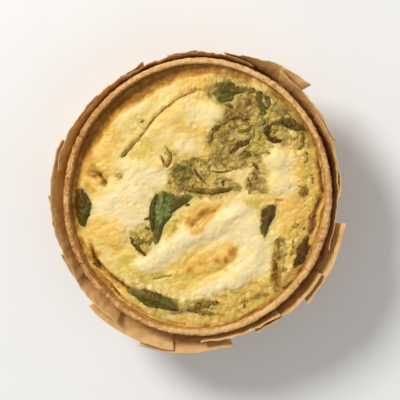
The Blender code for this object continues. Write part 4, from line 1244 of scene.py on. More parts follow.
def make_pastry():
    """The turned shell with an uneven, flaky rim."""
    around = 1000
    foot, floor = FOOT_Z - 0.1, FOOT_Z + PASTRY_BASE
    half = RIM_THICKNESS / 2
    profile = [(0.0, foot), (20.0, foot), (38.0, foot), (outer_radius(foot) - 2.0, foot)]
    for a in np.radians(np.linspace(-70, -10, 4)):
        profile.append((outer_radius(foot + 2) - 2 + 2 * math.cos(a), foot + 2 + 2 * math.sin(a)))
    for z in np.linspace(4, 26, 20):
        profile.append((outer_radius(z), z))
    for z in np.linspace(26.5, 33.8, 15):
        profile.append((outer_radius(z), z))
    for a in np.radians(np.linspace(0, 180, 19)):
        squared = 0.80  # a blunt, rounded crest
        c, s = math.cos(a), math.sin(a)
        profile.append((RIM_RADIUS - half + half * math.copysign(abs(c) ** squared, c),
                        RIM_HEIGHT - 1.05 + 1.05 * abs(s) ** squared))
    for z in np.linspace(33.9, 28.0, 14):
        profile.append((inner_radius(z), z))
    profile += [(inner_radius(16.0), 16.0), (inner_radius(floor + 4), floor + 4),
                (inner_radius(floor) - 1.5, floor + 1.2), (inner_radius(floor) - 5, floor),
                (20.0, floor), (0.0, floor)]
    profile = np.array(profile)
    rows = len(profile)
    turn = np.linspace(0, 2 * math.pi, around, endpoint=False)
    r, z = np.repeat(profile[:, :1], around, 1), np.repeat(profile[:, 1:], around, 1)
    a = np.repeat(turn[None, :], rows, 0)
    travel = np.concatenate([[0], np.cumsum(np.hypot(*np.diff(profile, axis=0).T))])
    s = np.repeat(travel[:, None], around, 1)
    px, py = r * np.cos(a), r * np.sin(a)
    bx, by = 50 * np.cos(a), 50 * np.sin(a)
    near_rim = smoothstep(26.0, 34.6, z)
    wall = smoothstep(3.0, 8.0, z) * smoothstep(20.0, 44.0, r)
    top = smoothstep(34.0, 35.0, z)
    wave = 0.30 * (0.5 * np.sin(2 * a + 0.6) + 0.3 * np.sin(5 * a + 2.1) + 0.2 * np.sin(9 * a + 4.0))
    rough = fbm3(N_SPACE, px, py, z, 1.7, 3, 0.62)
    flake = fbm3(N_FLAKE, px, py, z * 2.6, 4.2, 3, 0.6)
    sheet = smoothstep(0.0, 0.16, np.abs(flake)) - 0.6   # thin layers with sharp breaks between
    grain = fbm3(N_SPACE, px + 70, py, z, 0.95, 2)
    pit = np.clip(fbm3(N_SPACE, px - 30, py, z + 9, 1.2, 2) - 0.16, 0, 1)
    crumb = np.clip(fbm3(N_FLAKE, px - 60, py, z, 1.7, 2) - 0.10, 0, 1)
    out = np.where(near_rim > 0.5, np.clip((r - (RIM_RADIUS - half)) / half, -1, 1),
                   np.sign(r - (RIM_RADIUS - half) - (z - RIM_HEIGHT) * 0.11))
    wander = 0.34 * fbm(N_CRUST, bx + 90, by, 16.0, 2) + 0.10 * fbm(N_CRUST, bx, by + 90, 5.0, 2)
    thick = 0.18 * fbm(N_CRUST, bx - 50, by, 9.0, 2) - 0.08 + 0.24 * np.exp(-(((np.degrees(a) - 345) / 22) ** 2))
    thick = thick - 0.14 * np.exp(-(((np.degrees(a) - 105) / 40) ** 2))
    chip = np.clip(fbm(N_CRUST, bx + 70, by + 20, 3.0, 3) - 0.20, 0, 1) * 1.5
    r = r + np.where(r > 20, bulge(a, z), 0.0)
    r = r + wall * (near_rim * wander * 0.8 + out * near_rim * thick + 0.16 * rough + 0.20 * sheet * (out > 0)
                    + 0.06 * sheet + 0.08 * grain - (0.20 * crumb + 0.35 * pit) * out)
    z = z + near_rim * (wave + 0.26 * fbm(N_CRUST, bx, by - 70, 6.0, 3))
    z = z + top * (0.19 * rough + 0.12 * grain - 0.7 * chip * (0.55 + 0.45 * rough) - 0.22 * crumb - 0.5 * pit)
    inner_side = (np.arange(rows)[:, None] > rows - 21) * np.ones((1, around))
    toast = 0.04 + 0.14 * rough + 0.26 * smoothstep(0.55, 1.0, np.abs(out)) * near_rim
    toast = toast + 0.34 * (1 - smoothstep(20.0, 34.0, z)) * (1 - inner_side)
    # the inner wall is darker below the rim, most where the filling has shrunk from it: browning, and painted shade in
    # the gap
    shrunk = np.clip(drawn_back(a), 0, 1)
    toast = np.where(inner_side > 0, 0.16 + 0.26 * smoothstep(35.0, 33.4, z) + (0.55 * shrunk**0.6) * smoothstep(35.2, 34.4, z), toast)
    # chips and crumbs on the rim's top are darker: browning, and painted shade in these hollows
    toast = toast + top * (0.24 * np.clip(chip * 3, 0, 1) + 0.5 * crumb)
    # random patches, and the rim's top darker towards the right: painted shade on the side away from the key light
    toast = toast + top * (0.24 * fbm(N_CRUST, bx + 33, by, 11.0, 3) + 0.26 * smoothstep(20, 50, bx * math.cos(0.15) + by * math.sin(0.15)))
    toast = toast + top * 0.46 * smoothstep(0, 45, by * math.sin(3.3) + bx * math.cos(3.3))
    # pits on the rim's top are darker too: browning, and painted shade in them
    toast = toast + top * 0.5 * pit
    toast = toast + 0.22 * (0.4 - sheet) * wall * (out > 0) * (1 - top)
    points = np.stack([r * np.cos(a), r * np.sin(a), z], -1)
    keep = points[1:-1].reshape(-1, 3)
    marks = {"toast": np.concatenate([toast[1:-1].ravel(), [0.3, 0.3]])}
    keep = np.concatenate([keep, [[0, 0, foot]], [[0, 0, floor]]])
    quads = grid_faces(rows - 2, around, wrap=True)
    j = np.arange(around)
    k = (j + 1) % around
    last = (rows - 3) * around
    under, inside = (rows - 2) * around, (rows - 2) * around + 1
    triangles = np.concatenate([
        np.stack([np.full(around, under), k, j], -1),
        np.stack([np.full(around, inside), last + j, last + k], -1),
    ])
    obj = new_mesh("pastry_crust", keep, [quads, triangles], pastry_surface, marks=marks)
    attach(obj, "root")
    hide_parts("pastry_shell")
    return obj


# ---------------------------------------------------------------- spinach


def patch_sheet(spec, n=33):
    """A leaf as a grid of points: crowned, folded, wrinkled, its border dipping into the custard."""
    ux, uy = disc_grid(n)
    rho, theta = np.hypot(ux, uy), np.arctan2(uy, ux)
    grid, radius = spec["polar"]
    reach = np.interp(theta, grid, radius, period=2 * math.pi)
    cx, cy = spec["centre"]
    x, y = cx + rho * reach * np.cos(theta), cy + rho * reach * np.sin(theta)
    seed = cx * 1.7 - cy
    base = SKIN(x, y)
    soft = SKIN(cx, cy)
    base = 0.85 * base + 0.15 * soft
    uneven = np.clip(0.6 + 1.0 * N_LEAF(1.3 * np.cos(theta) + seed, 1.3 * np.sin(theta) + seed), 0, 1.4)
    height = spec["lift"] * (1 - rho**3) * 0.55 - spec["bury"] * uneven * smoothstep(0.62, 1.0, rho)
    u, v = turned(x, y, 20 + 9 * seed, 1.6)
    height = height + 0.55 * (smoothstep(0.0, 0.30, np.abs(fbm(N_LEAF, u + seed, v, 3.4, 3))) - 0.55) * (1 - 0.6 * rho)
    height = height + 0.40 * fbm(N_LEAF, x + seed, y + 9, 3.6, 2) + 0.14 * fbm(N_LEAF, x - seed, y, 1.1, 2)
    vein = x * 0
    a, b, c, tall = spec["fold"]
    line = spline((a, b, c), 12)
    d, along = to_line(x, y, line)
    height = height + tall * np.exp(-((d / 1.1) ** 2)) - 0.25 * tall * np.exp(-(((d - 2.0) / 1.0) ** 2))
    vein = np.exp(-((d / 0.28) ** 2))
    # side veins run off the midrib in pairs
    side = np.abs(((along * 6.5 + d * 0.18 + 0.25 * N_LEAF(x / 2.0, y / 2.0)) % 1.0) - 0.5)
    ribs = np.exp(-((side / 0.07) ** 2)) * smoothstep(4.0, 0.8, d)
    height = height - 0.10 * ribs
    over = covered(x, y) * spec["cover"]
    z = base + height * (1 - over) - 0.30 * over + 0.06
    film = spec["film"] * (0.55 + 0.9 * fbm(N_MARK, x + seed, y - seed, 3.4, 2))
    film = film + 0.60 * spec.get("rim", 1.0) * smoothstep(0.74, 1.0, rho) * np.clip(uneven, 0, 1) + 0.7 * over
    film = np.clip(film, 0, max(1.0, spec["film"]))
    tone = np.clip(spec["tone"] + 0.16 * fbm(N_MARK, x, y + seed, 3.0, 2) - 0.22 * smoothstep(0.55, 1.0, rho), 0, 1)
    for sx, sy, size, change in spec["spots"]:
        tone = tone + change * np.exp(-(((x - sx) ** 2 + (y - sy) ** 2) / size**2) ** 1.2)
    tone = np.clip(tone, 0, 1)
    return np.stack([x, y, z], -1), dict(film=film, tone=tone, vein=np.clip(vein + 0.5 * ribs, 0, 1) * spec["veins"])


def ribbon(line, widths, height, curl=0.0, twist=0.0, rows=40, columns=9, ruffle=0.25, seed=0.0):
    """A strip of leaf along a line in mm: width and height above the custard vary along it."""
    pts = spline(line, rows)
    t = np.linspace(0, 1, rows)
    run = t * np.linalg.norm(np.diff(pts, axis=0), axis=1).sum()
    w = np.interp(t, np.linspace(0, 1, len(widths)), widths)
    h = np.interp(t, np.linspace(0, 1, len(height)), height)
    tangent = np.gradient(pts, axis=0)
    tangent /= np.linalg.norm(tangent, axis=1, keepdims=True) + 1e-9
    side = np.stack([-tangent[:, 1], tangent[:, 0]], -1)
    pts = pts + side * (0.8 * ruffle * fbm(N_LEAF, run - seed, run * 0 + 44, 2.6, 2))[:, None]
    u = np.linspace(-1, 1, columns)[None, :]
    one, other = (np.clip(1 + 0.75 * fbm(N_LEAF, run + seed, run * 0 + row, 1.7, 3, 0.65), 0.3, 1.6)[:, None] for row in (3, 17))
    w = w[:, None] * (one * (1 - u) / 2 + other * (1 + u) / 2)
    roll = math.radians(twist) * (t[:, None] - 0.5) * 2
    bend = math.radians(curl) * u
    across = np.where(abs(curl) > 1, np.sin(bend) / math.radians(max(abs(curl), 1)) * np.sign(curl if curl else 1), u)
    up = np.where(abs(curl) > 1, (1 - np.cos(bend)) / math.radians(max(abs(curl), 1)), 0 * u) * (1 if curl > 0 else -1)
    ax = across * np.cos(roll) - up * np.sin(roll)
    az = across * np.sin(roll) + up * np.cos(roll)
    x = pts[:, 0:1] + side[:, 0:1] * ax * w
    y = pts[:, 1:2] + side[:, 1:2] * ax * w
    x = x + ruffle * 0.5 * fbm(N_LEAF, x + seed, y, 1.8, 2)
    y = y + ruffle * 0.5 * fbm(N_LEAF, x, y + seed, 1.8, 2)
    middle = SKIN(pts[:, 0], pts[:, 1])[:, None]
    z = middle + h[:, None] + az * w + ruffle * fbm(N_LEAF, x + seed, y + seed, 1.6, 2)
    z = z + 0.45 * ruffle * fbm(N_LEAF, x - seed, y + 2 * seed, 0.9, 2)
    return np.stack([x, y, z], -1)


# Thin strips and curls of leaf: line, half widths, heights, curl, twist, tone, film
STRIPS = (
    # the twisted leaf near the rim at the upper right
    (((22.6, 38.4), (22.0, 36.8), (21.8, 35.0), (22.2, 33.2), (23.0, 31.6), (23.8, 30.2)), (0.8, 1.4, 1.5, 1.6, 1.3, 0.5),
     (0.2, 0.5, 0.4, 0.4, 0.3, 0.0), 24, 35, 0.44, 0.14),
    (((23.2, 37.2), (24.6, 35.6), (25.2, 33.6), (24.6, 31.8)), (0.3, 0.8, 0.9, 0.4), (0.3, 0.40, 0.35, 0.0), 25, -35, 0.16, 0.20),
    # the leaf lying along the rim beyond the back leaf
    (((14.6, 40.0), (18.0, 38.8), (21.0, 37.6)), (1.0, 1.5, 0.8), (0.1, 0.4, 0.0), 30, 20, 0.28, 0.35),
    (((-4.6, 38.4), (-1.6, 39.2), (1.2, 39.4)), (0.2, 0.5, 0.2), (-0.2, 0.05, -0.2), 15, 0, 0.25, 0.85),
    # in the olive patch, from its left to its right
    (((4.3, 24.3), (6.0, 25.2), (8.0, 25.7)), (0.4, 0.75, 0.4), (0.0, 0.35, 0.0), 35, 20, 0.24, 0.22),
    (((5.4, 24.2), (4.7, 22.2), (3.3, 19.9)), (0.4, 0.75, 0.5), (0.0, 0.3, 0.0), 30, 10, 0.06, 0.50),
    (((9.8, 33.6), (11.0, 33.1), (12.4, 32.6)), (0.4, 0.8, 0.4), (0.0, 0.35, 0.0), 35, 20, 0.32, 0.25),
    (((9.8, 32.2), (9.6, 29.6), (8.6, 26.6)), (0.3, 0.75, 0.4), (-0.1, 0.2, 0.0), 30, 10, 0.36, 0.62),
    (((10.4, 28.4), (12.4, 29.1), (14.4, 29.6), (16.4, 28.7), (18.0, 28.1)), (0.4, 0.75, 0.85, 0.6, 0.3),
     (0.0, 0.35, 0.4, 0.3, 0.0), 35, 30, 0.03, 0.42),
    (((12.6, 31.4), (13.8, 30.3), (15.4, 29.4)), (0.3, 0.6, 0.3), (0.0, 0.35, 0.1), 35, 10, 0.02, 0.48),
    (((15.2, 34.4), (15.9, 32.4), (17.8, 30.9)), (0.3, 0.6, 0.3), (0.0, 0.3, 0.0), 35, -15, 0.02, 0.62),
    (((18.6, 35.8), (17.8, 34.5), (16.6, 33.8)), (0.4, 0.95, 0.4), (0.0, 0.45, 0.0), 35, 15, 0.03, 0.30),
    (((12.2, 27.2), (13.2, 26.0), (14.2, 25.1)), (0.3, 0.55, 0.3), (0.0, 0.25, 0.0), 30, 10, 0.40, 0.60),
    (((16.0, 23.8), (17.7, 24.7), (19.6, 26.0)), (0.3, 0.70, 0.3), (0.0, 0.35, 0.0), 40, 10, 0.20, 0.28),
    (((18.8, 21.0), (17.6, 20.1), (16.0, 19.4), (13.6, 19.9)), (0.4, 0.8, 1.1, 0.8), (0.0, 0.35, 0.5, 0.2), 40, 20, 0.14, 0.06),
    (((14.8, 19.4), (13.2, 17.8), (11.7, 15.8)), (0.6, 0.75, 0.8), (0.3, 0.35, 0.1), 40, -20, 0.12, 0.15),
    (((16.9, 17.2), (17.8, 15.8), (17.2, 14.2)), (0.5, 0.9, 0.4), (0.0, 0.35, 0.0), 35, 15, 0.26, 0.35),
    (((9.0, 18.8), (8.3, 17.0), (8.5, 15.4)), (0.3, 0.65, 0.3), (0.0, 0.25, 0.0), 30, 10, 0.42, 0.62),
    (((6.4, 16.6), (5.8, 14.8), (6.2, 13.0)), (0.25, 0.5, 0.25), (0.0, 0.2, 0.0), 30, 10, 0.34, 0.70),
    (((17.4, 20.8), (19.2, 22.2), (20.2, 24.2)), (0.3, 0.65, 0.3), (0.0, 0.3, 0.0), 35, 10, 0.66, 0.50),
    (((9.6, 24.6), (10.2, 23.6), (10.0, 22.4)), (0.3, 0.7, 0.3), (0.0, 0.25, 0.0), 30, 10, 0.60, 0.50),
    (((19.2, 12.8), (20.4, 11.4), (21.5, 9.8)), (0.3, 0.75, 0.35), (0.0, 0.35, 0.0), 40, 15, 0.20, 0.18),
    (((7.8, 12.3), (8.8, 11.8), (9.8, 11.1)), (0.3, 0.6, 0.3), (0.0, 0.25, 0.0), 30, 10, 0.30, 0.45),
    (((22.2, 29.4), (23.0, 27.8), (22.6, 26.2)), (0.3, 0.8, 0.4), (0.0, 0.3, 0.0), 30, 10, 0.74, 0.60),
    (((17.8, 7.4), (18.2, 4.6), (20.4, 3.0)), (0.4, 0.9, 0.5), (0.0, 0.4, 0.0), 35, 25, 0.18, 0.45),
    # right: the small ring, the slit, bits along the rim
    (((36.0, 4.4), (37.4, 3.4), (37.2, 1.6), (36.4, 0.4)), (0.3, 0.7, 0.7, 0.3), (-0.1, 0.25, 0.25, -0.1), 40, 10, 0.22, 0.50),
    (((38.4, 4.2), (39.2, 2.6), (38.6, 0.8)), (0.25, 0.6, 0.25), (-0.1, 0.2, -0.1), 40, 10, 0.10, 0.60),
    (((27.6, -22.4), (27.7, -26.0), (28.1, -29.6), (28.5, -32.8)), (0.25, 0.55, 0.90, 0.3), (-0.15, 0.05, 0.18, -0.1), 30, 15, 0.20, 0.30),
    (((28.5, -15.8), (29.0, -18.4), (29.5, -21.4)), (0.25, 0.5, 0.25), (-0.3, 0.0, -0.2), 40, 20, 0.06, 0.35),
    (((33.8, -14.0), (34.2, -18.4), (32.6, -22.0)), (0.3, 0.7, 0.3), (-0.2, 0.1, -0.1), 30, 15, 0.30, 0.60),
    (((40.2, 9.2), (41.0, 7.2), (41.2, 5.0)), (0.25, 0.5, 0.25), (-0.2, 0.1, -0.2), 30, 10, 0.20, 0.70),
    (((39.8, -7.0), (40.6, -11.0), (40.2, -13.6)), (0.3, 0.55, 0.3), (-0.2, 0.1, -0.1), 30, 10, 0.08, 0.50),
    (((15.4, -39.0), (16.8, -38.5), (18.2, -38.3)), (0.3, 0.7, 0.3), (-0.3, 0.02, -0.3), 20, 20, 0.04, 0.70),
    (((20.0, -37.0), (21.2, -36.4), (22.4, -36.0)), (0.3, 0.8, 0.3), (-0.3, 0.05, -0.3), 20, 20, 0.05, 0.62),
    (((29.4, -33.4), (30.8, -32.2), (32.4, -30.8)), (0.3, 0.6, 0.3), (-0.1, 0.2, 0.0), 35, -20, 0.10, 0.60),
    # front: brown olive leaf by the rim
    (((-3.6, -40.8), (0.4, -39.8), (4.4, -38.8), (8.0, -38.9)), (0.6, 1.4, 1.3, 0.6), (-0.1, 0.3, 0.2, -0.1), 30, 10, 0.12, 0.38),
    (((-1.0, -43.0), (3.0, -42.4), (6.4, -42.6)), (0.4, 0.9, 0.4), (-0.2, 0.1, -0.2), 25, 10, 0.20, 0.40),
    # left: bits beside the rim and under the white curd
    (((-39.4, 9.0), (-37.8, 8.5), (-36.2, 7.8)), (0.3, 0.7, 0.35), (-0.1, 0.2, -0.1), 35, 20, 0.05, 0.60),
    (((-35.8, 7.6), (-34.8, 5.8), (-33.8, 4.6)), (0.3, 0.75, 0.35), (-0.1, 0.25, -0.1), 35, -20, 0.04, 0.30),
    (((-30.4, 7.6), (-28.8, 6.9), (-27.6, 7.2)), (0.3, 0.6, 0.3), (-0.15, 0.1, -0.1), 25, 0, 0.40, 0.75),
    (((-38.2, -21.0), (-38.0, -24.4), (-36.0, -27.2)), (0.4, 1.0, 0.5), (-0.3, 0.1, -0.2), 40, 30, 0.15, 0.15),
    (((-19.9, -8.4), (-18.8, -8.0), (-17.7, -8.3)), (0.25, 0.5, 0.25), (0.0, 0.3, 0.0), 25, 0, 0.12, 0.25),
    (((-21.6, 26.8), (-20.5, 27.6), (-19.4, 27.8)), (0.25, 0.5, 0.25), (-0.15, 0.1, -0.15), 25, 0, 0.35, 0.80),
    (((-6.4, -41.2), (-2.0, -41.7), (2.2, -42.2)), (0.40, 0.85, 0.35), (-0.2, 0.1, -0.2), 30, 10, 0.05, 0.25),
)

# The leaf that curls in a ring, node spinach_leaf_curled
CURL = (
    # the thin upper left of the ring, and the thick piece beside it
    (((25.2, 24.8), (26.2, 26.6), (28.4, 27.6), (31.8, 27.9)), (0.5, 0.6, 0.6, 0.5), (0.0, 0.35, 0.4, 0.3), 50, 20, 0.18, 0.20),
    (((29.2, 27.8), (31.6, 27.5), (34.2, 26.5), (36.2, 25.5), (37.8, 24.0)), (0.7, 1.5, 1.8, 1.5, 0.7),
     (0.1, 0.5, 0.55, 0.45, 0.1), 26, 35, 0.22, 0.10),
    (((30.4, 27.0), (32.6, 26.2), (35.0, 25.0)), (0.4, 1.0, 0.5), (0.5, 0.8, 0.4), 30, -40, 0.10, 0.08),
    # down its right, and down its left to the dark foot
    (((36.4, 25.4), (37.3, 22.6), (37.2, 19.8), (36.1, 17.0)), (0.5, 0.6, 0.6, 0.3), (0.3, 0.35, 0.2, -0.1), 45, 30, 0.16, 0.45),
    (((25.6, 26.4), (24.5, 24.8), (24.6, 23.0), (25.4, 21.8)), (0.5, 0.95, 1.05, 0.7), (0.1, 0.45, 0.5, 0.3), 45, -20, 0.26, 0.06),
    (((24.9, 22.2), (26.4, 21.2), (28.0, 20.6), (29.6, 20.1)), (0.7, 1.2, 1.0, 0.5), (0.3, 0.55, 0.4, 0.0), 45, 25, 0.06, 0.04),
)

# Stems: line, radii, heights of the middle above the custard, tone, how much custard has run over them
STEMS = (
    (((-28.4, 14.3), (-27.2, 15.5), (-24.0, 18.8), (-21.6, 21.5), (-20.0, 23.4), (-18.2, 26.0), (-16.0, 28.6),
      (-12.4, 32.1), (-8.4, 35.0), (-3.8, 37.3), (0.3, 38.7)),
     (0.42, 0.78, 0.56, 0.56, 0.50, 0.34, 0.38, 0.34, 0.32, 0.28, 0.16),
     (-0.10, 0.16, 0.08, 0.06, 0.10, -0.02, 0.02, -0.02, -0.04, -0.06, -0.12),
     (0.40, 0.44, 0.26, 0.24, 0.20, 0.08, 0.04, 0.04, 0.04, 0.04, 0.06), 0.46),
    (((-5.8, 3.6), (-3.4, 2.9), (1.0, 2.2), (4.8, 2.0), (9.2, 2.5), (13.4, 3.8)),
     (0.30, 0.70, 0.95, 0.95, 0.85, 0.30), (0.0, 0.24, 0.14, 0.14, 0.16, -0.1), 0.34, 0.30),
    (((-1.9, 10.3), (-0.9, 8.7), (0.6, 7.0), (2.3, 5.1)), (0.22, 0.52, 0.54, 0.30), (0.1, 0.45, 0.50, 0.2), 0.06, 0.30),
    (((3.0, 9.6), (8.0, 9.2), (13.0, 10.6), (17.0, 12.6)), (0.16, 0.38, 0.40, 0.16), (-0.1, 0.14, 0.12, -0.1), 0.30, 0.42),
    (((-12.0, 18.1), (-10.6, 16.2), (-10.1, 14.2), (-10.6, 12.2), (-11.6, 10.6)), (0.20, 0.58, 0.64, 0.52, 0.36),
     (-0.1, 0.10, 0.10, 0.04, -0.10), 0.20, 0.40),
    (((-13.6, 15.1), (-13.1, 13.6), (-12.5, 12.0), (-11.6, 10.6)), (0.22, 0.60, 0.54, 0.30), (-0.1, 0.12, 0.08, -0.12), 0.14, 0.42),
    (((-16.4, -30.2), (-13.2, -29.4), (-9.8, -28.5)), (0.20, 0.32, 0.20), (-0.12, 0.06, -0.1), 0.50, 0.62),
    (((-23.0, -35.0), (-26.6, -33.4), (-29.8, -31.0), (-32.6, -28.4)), (0.30, 0.45, 0.45, 0.30), (-0.3, -0.15, -0.15, -0.3), 0.04, 0.10),
    (((-35.6, -26.2), (-38.0, -23.4), (-38.9, -20.0)), (0.30, 0.50, 0.30), (-0.3, -0.15, -0.3), 0.02, 0.10),
    (((-32.9, -32.0), (-30.2, -35.0), (-28.1, -37.8)), (0.25, 0.40, 0.25), (-0.3, -0.15, -0.3), 0.02, 0.20),
)


def make_spinach():
    for name, spec in PATCHES.items():
        pile = Pile()
        sheet, marks = patch_sheet(spec, 41 if name in ("spinach_leaf_middle", "spinach_leaf_front") else 33)
        pile.add_sheet(sheet, 0.30, **marks)
        if name == "spinach_leaf_middle":  # its torn edge is turned over along the left
            roll = ribbon(((-15.4, 1.0), (-17.0, -3.0), (-17.3, -8.0), (-16.9, -13.0)), (0.3, 0.8, 0.8, 0.3),
                          (0.7, 0.9, 0.8, 0.3), 60, 20, rows=36, seed=4.0)
            pile.add_sheet(roll, 0.26, tone=0.55, film=0.05, vein=0.0)
        if name == "spinach_leaf_sunk":  # the dark edges of the leaf that the custard has covered
            edge = ribbon(((-25.1, -14.8), (-23.9, -17.0), (-22.1, -19.3), (-19.5, -21.7)), (0.35, 0.9, 0.9, 0.45),
                          (0.1, 0.40, 0.35, 0.1), -30, 15, rows=32, seed=8.0)
            pile.add_sheet(edge, 0.26, tone=0.32, film=0.06, vein=0.0)
        obj = pile.make(name.replace("spinach_", "") + "_cooked", spinach_surface)
        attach(obj, "root")
        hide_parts(name)

    pile = Pile()
    for i, (line, widths, heights, curl, twist, tone, film) in enumerate(CURL):
        strip = ribbon(line, widths, heights, -curl, twist, rows=54, columns=15, ruffle=0.62, seed=30.0 + i)
        pile.add_sheet(strip, 0.28, tone=tone, film=film, vein=0.0)
    obj = pile.make("leaf_curled_cooked", spinach_surface)
    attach(obj, "root")
    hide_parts("spinach_leaf_curled")

    pile = Pile()
    for i, (line, widths, heights, curl, twist, tone, film) in enumerate(STRIPS):
        strip = ribbon(line, widths, heights, -curl, twist, rows=34, columns=9, ruffle=0.35, seed=60.0 + 3 * i)
        pile.add_sheet(strip, 0.26, tone=tone, film=film, vein=0.0)
    # torn flecks, thickest where the leaves lie
    rng = np.random.default_rng(77)
    for cx, cy, a, b, turn, strength in SCATTER:
        for _ in range(int(round(1 + a * b * strength * 0.12))):
            u, v = rng.normal(0, 0.5, 2)
            c, s = math.cos(math.radians(turn)), math.sin(math.radians(turn))
            x, y = cx + u * a * c - v * b * s, cy + u * a * s + v * b * c
            if math.hypot(x, y) > 43.5:
                continue
            way, size = rng.uniform(0, math.pi), rng.uniform(0.6, 1.7)
            bend = rng.uniform(-0.7, 0.7)
            step = np.array([math.cos(way), math.sin(way)]) * size
            step2 = np.array([math.cos(way + bend), math.sin(way + bend)]) * size
            line = (np.array([x, y]) - step, np.array([x, y]), np.array([x, y]) + step2)
            wide = rng.uniform(0.35, 0.9)
            strip = ribbon(line, (0.2, wide, 0.25), (-0.15, rng.uniform(0.05, 0.4), -0.1),
                           -rng.uniform(10, 50), rng.uniform(-40, 40), rows=14, columns=7, seed=rng.uniform(0, 90))
            pile.add_sheet(strip, 0.22, tone=rng.uniform(0.05, 0.46), film=rng.uniform(0.15, 0.75), vein=0.0)
    obj = pile.make("spinach_strips", spinach_surface)
    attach(obj, "root")

    pile = Pile()
    for line, radii, heights, tone, run_over in STEMS:
        count = max(20, int(9 * len(line)))
        flat = spline(line, count)
        t = np.linspace(0, 1, count)
        radius = np.interp(t, np.linspace(0, 1, len(radii)), radii)
        lift = np.interp(t, np.linspace(0, 1, len(heights)), heights)
        radius = radius * (1 + 0.12 * N_LEAF(t * 9, t * 0 + line[0][0]))
        x = flat[:, 0] + 0.15 * N_LEAF(t * 6, t * 0 + line[0][1])
        y = flat[:, 1] + 0.15 * N_LEAF(t * 6 + 40, t * 0 + line[0][1])
        z = SKIN(x, y)
        z = np.convolve(np.pad(z, 3, mode="edge"), np.ones(7) / 7, "valid") + lift
        # custard has run over it in places
        film = np.clip(run_over + 0.8 * N_LEAF(t * 2.2 * len(line) / 4, t * 0 + 3 * line[0][0]), 0.05, 0.95)
        film = np.maximum(film, 0.8 * smoothstep(0.08, 0.0, np.minimum(t, 1 - t)))
        if np.ndim(tone):
            tone = np.interp(t, np.linspace(0, 1, len(tone)), tone)
        along_tone = np.clip(tone + 0.10 * N_LEAF(t * 5, t * 0 + line[0][1] * 2), 0, 1)
        pile.add_tube(np.stack([x, y, z], -1), radius, sides=12, flat=0.8, tone=along_tone, film=film, vein=0.1)
    obj = pile.make("spinach_stems", spinach_surface)
    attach(obj, "root")


# Softened slivers of onion and pale stalk, and a few pale slivers that stand for painted highlights: line, radii,
# heights, tone
SLIVERS = (
    (((17.8, 19.0), (15.6, 17.3), (13.9, 15.6), (12.3, 13.4)), (0.30, 0.58, 0.64, 0.30), (0.1, 0.50, 0.45, 0.0), 0.05),
    (((10.8, 24.4), (13.0, 22.4), (15.0, 21.1), (17.3, 21.6), (18.6, 23.2)), (0.25, 0.50, 0.56, 0.46, 0.24),
     (0.0, 0.30, 0.35, 0.30, 0.0), 0.30),
    (((4.2, 24.0), (3.0, 22.5), (3.1, 21.0)), (0.26, 0.52, 0.26), (0.0, 0.35, 0.0), 0.05),
    # a painted highlight on the twisted leaf, as a pale sliver
    (((22.9, 35.8), (23.7, 34.6), (24.6, 33.0)), (0.28, 0.55, 0.30), (0.85, 1.30, 0.85), 0.55),
    (((25.8, 35.8), (26.6, 34.2), (26.2, 32.0)), (0.30, 0.62, 0.35), (0.0, 0.30, 0.0), 0.30),
    # a painted highlight under the curled leaf's dark foot, as a pale sliver
    (((24.4, 19.9), (25.7, 19.0), (27.3, 18.2)), (0.32, 0.66, 0.35), (0.0, 0.40, 0.0), 0.10),
    (((10.5, 17.4), (10.3, 15.8), (9.6, 14.4)), (0.30, 0.52, 0.28), (0.0, 0.25, 0.0), 0.45),
    (((13.4, 34.4), (13.0, 32.8), (14.0, 31.6)), (0.26, 0.46, 0.26), (0.0, 0.25, 0.0), 0.35),
    (((19.6, 31.6), (21.0, 29.8), (20.6, 27.8)), (0.26, 0.46, 0.26), (0.0, 0.25, 0.0), 0.40),
    (((28.4, 24.8), (30.6, 23.6), (33.0, 22.2)), (0.26, 0.44, 0.26), (0.0, 0.25, 0.0), 0.30),
    # a painted highlight beside the short stem, as a pale sliver
    (((-0.9, 10.1), (0.5, 8.3), (1.9, 6.7)), (0.18, 0.34, 0.18), (0.30, 0.60, 0.30), 0.20),
)


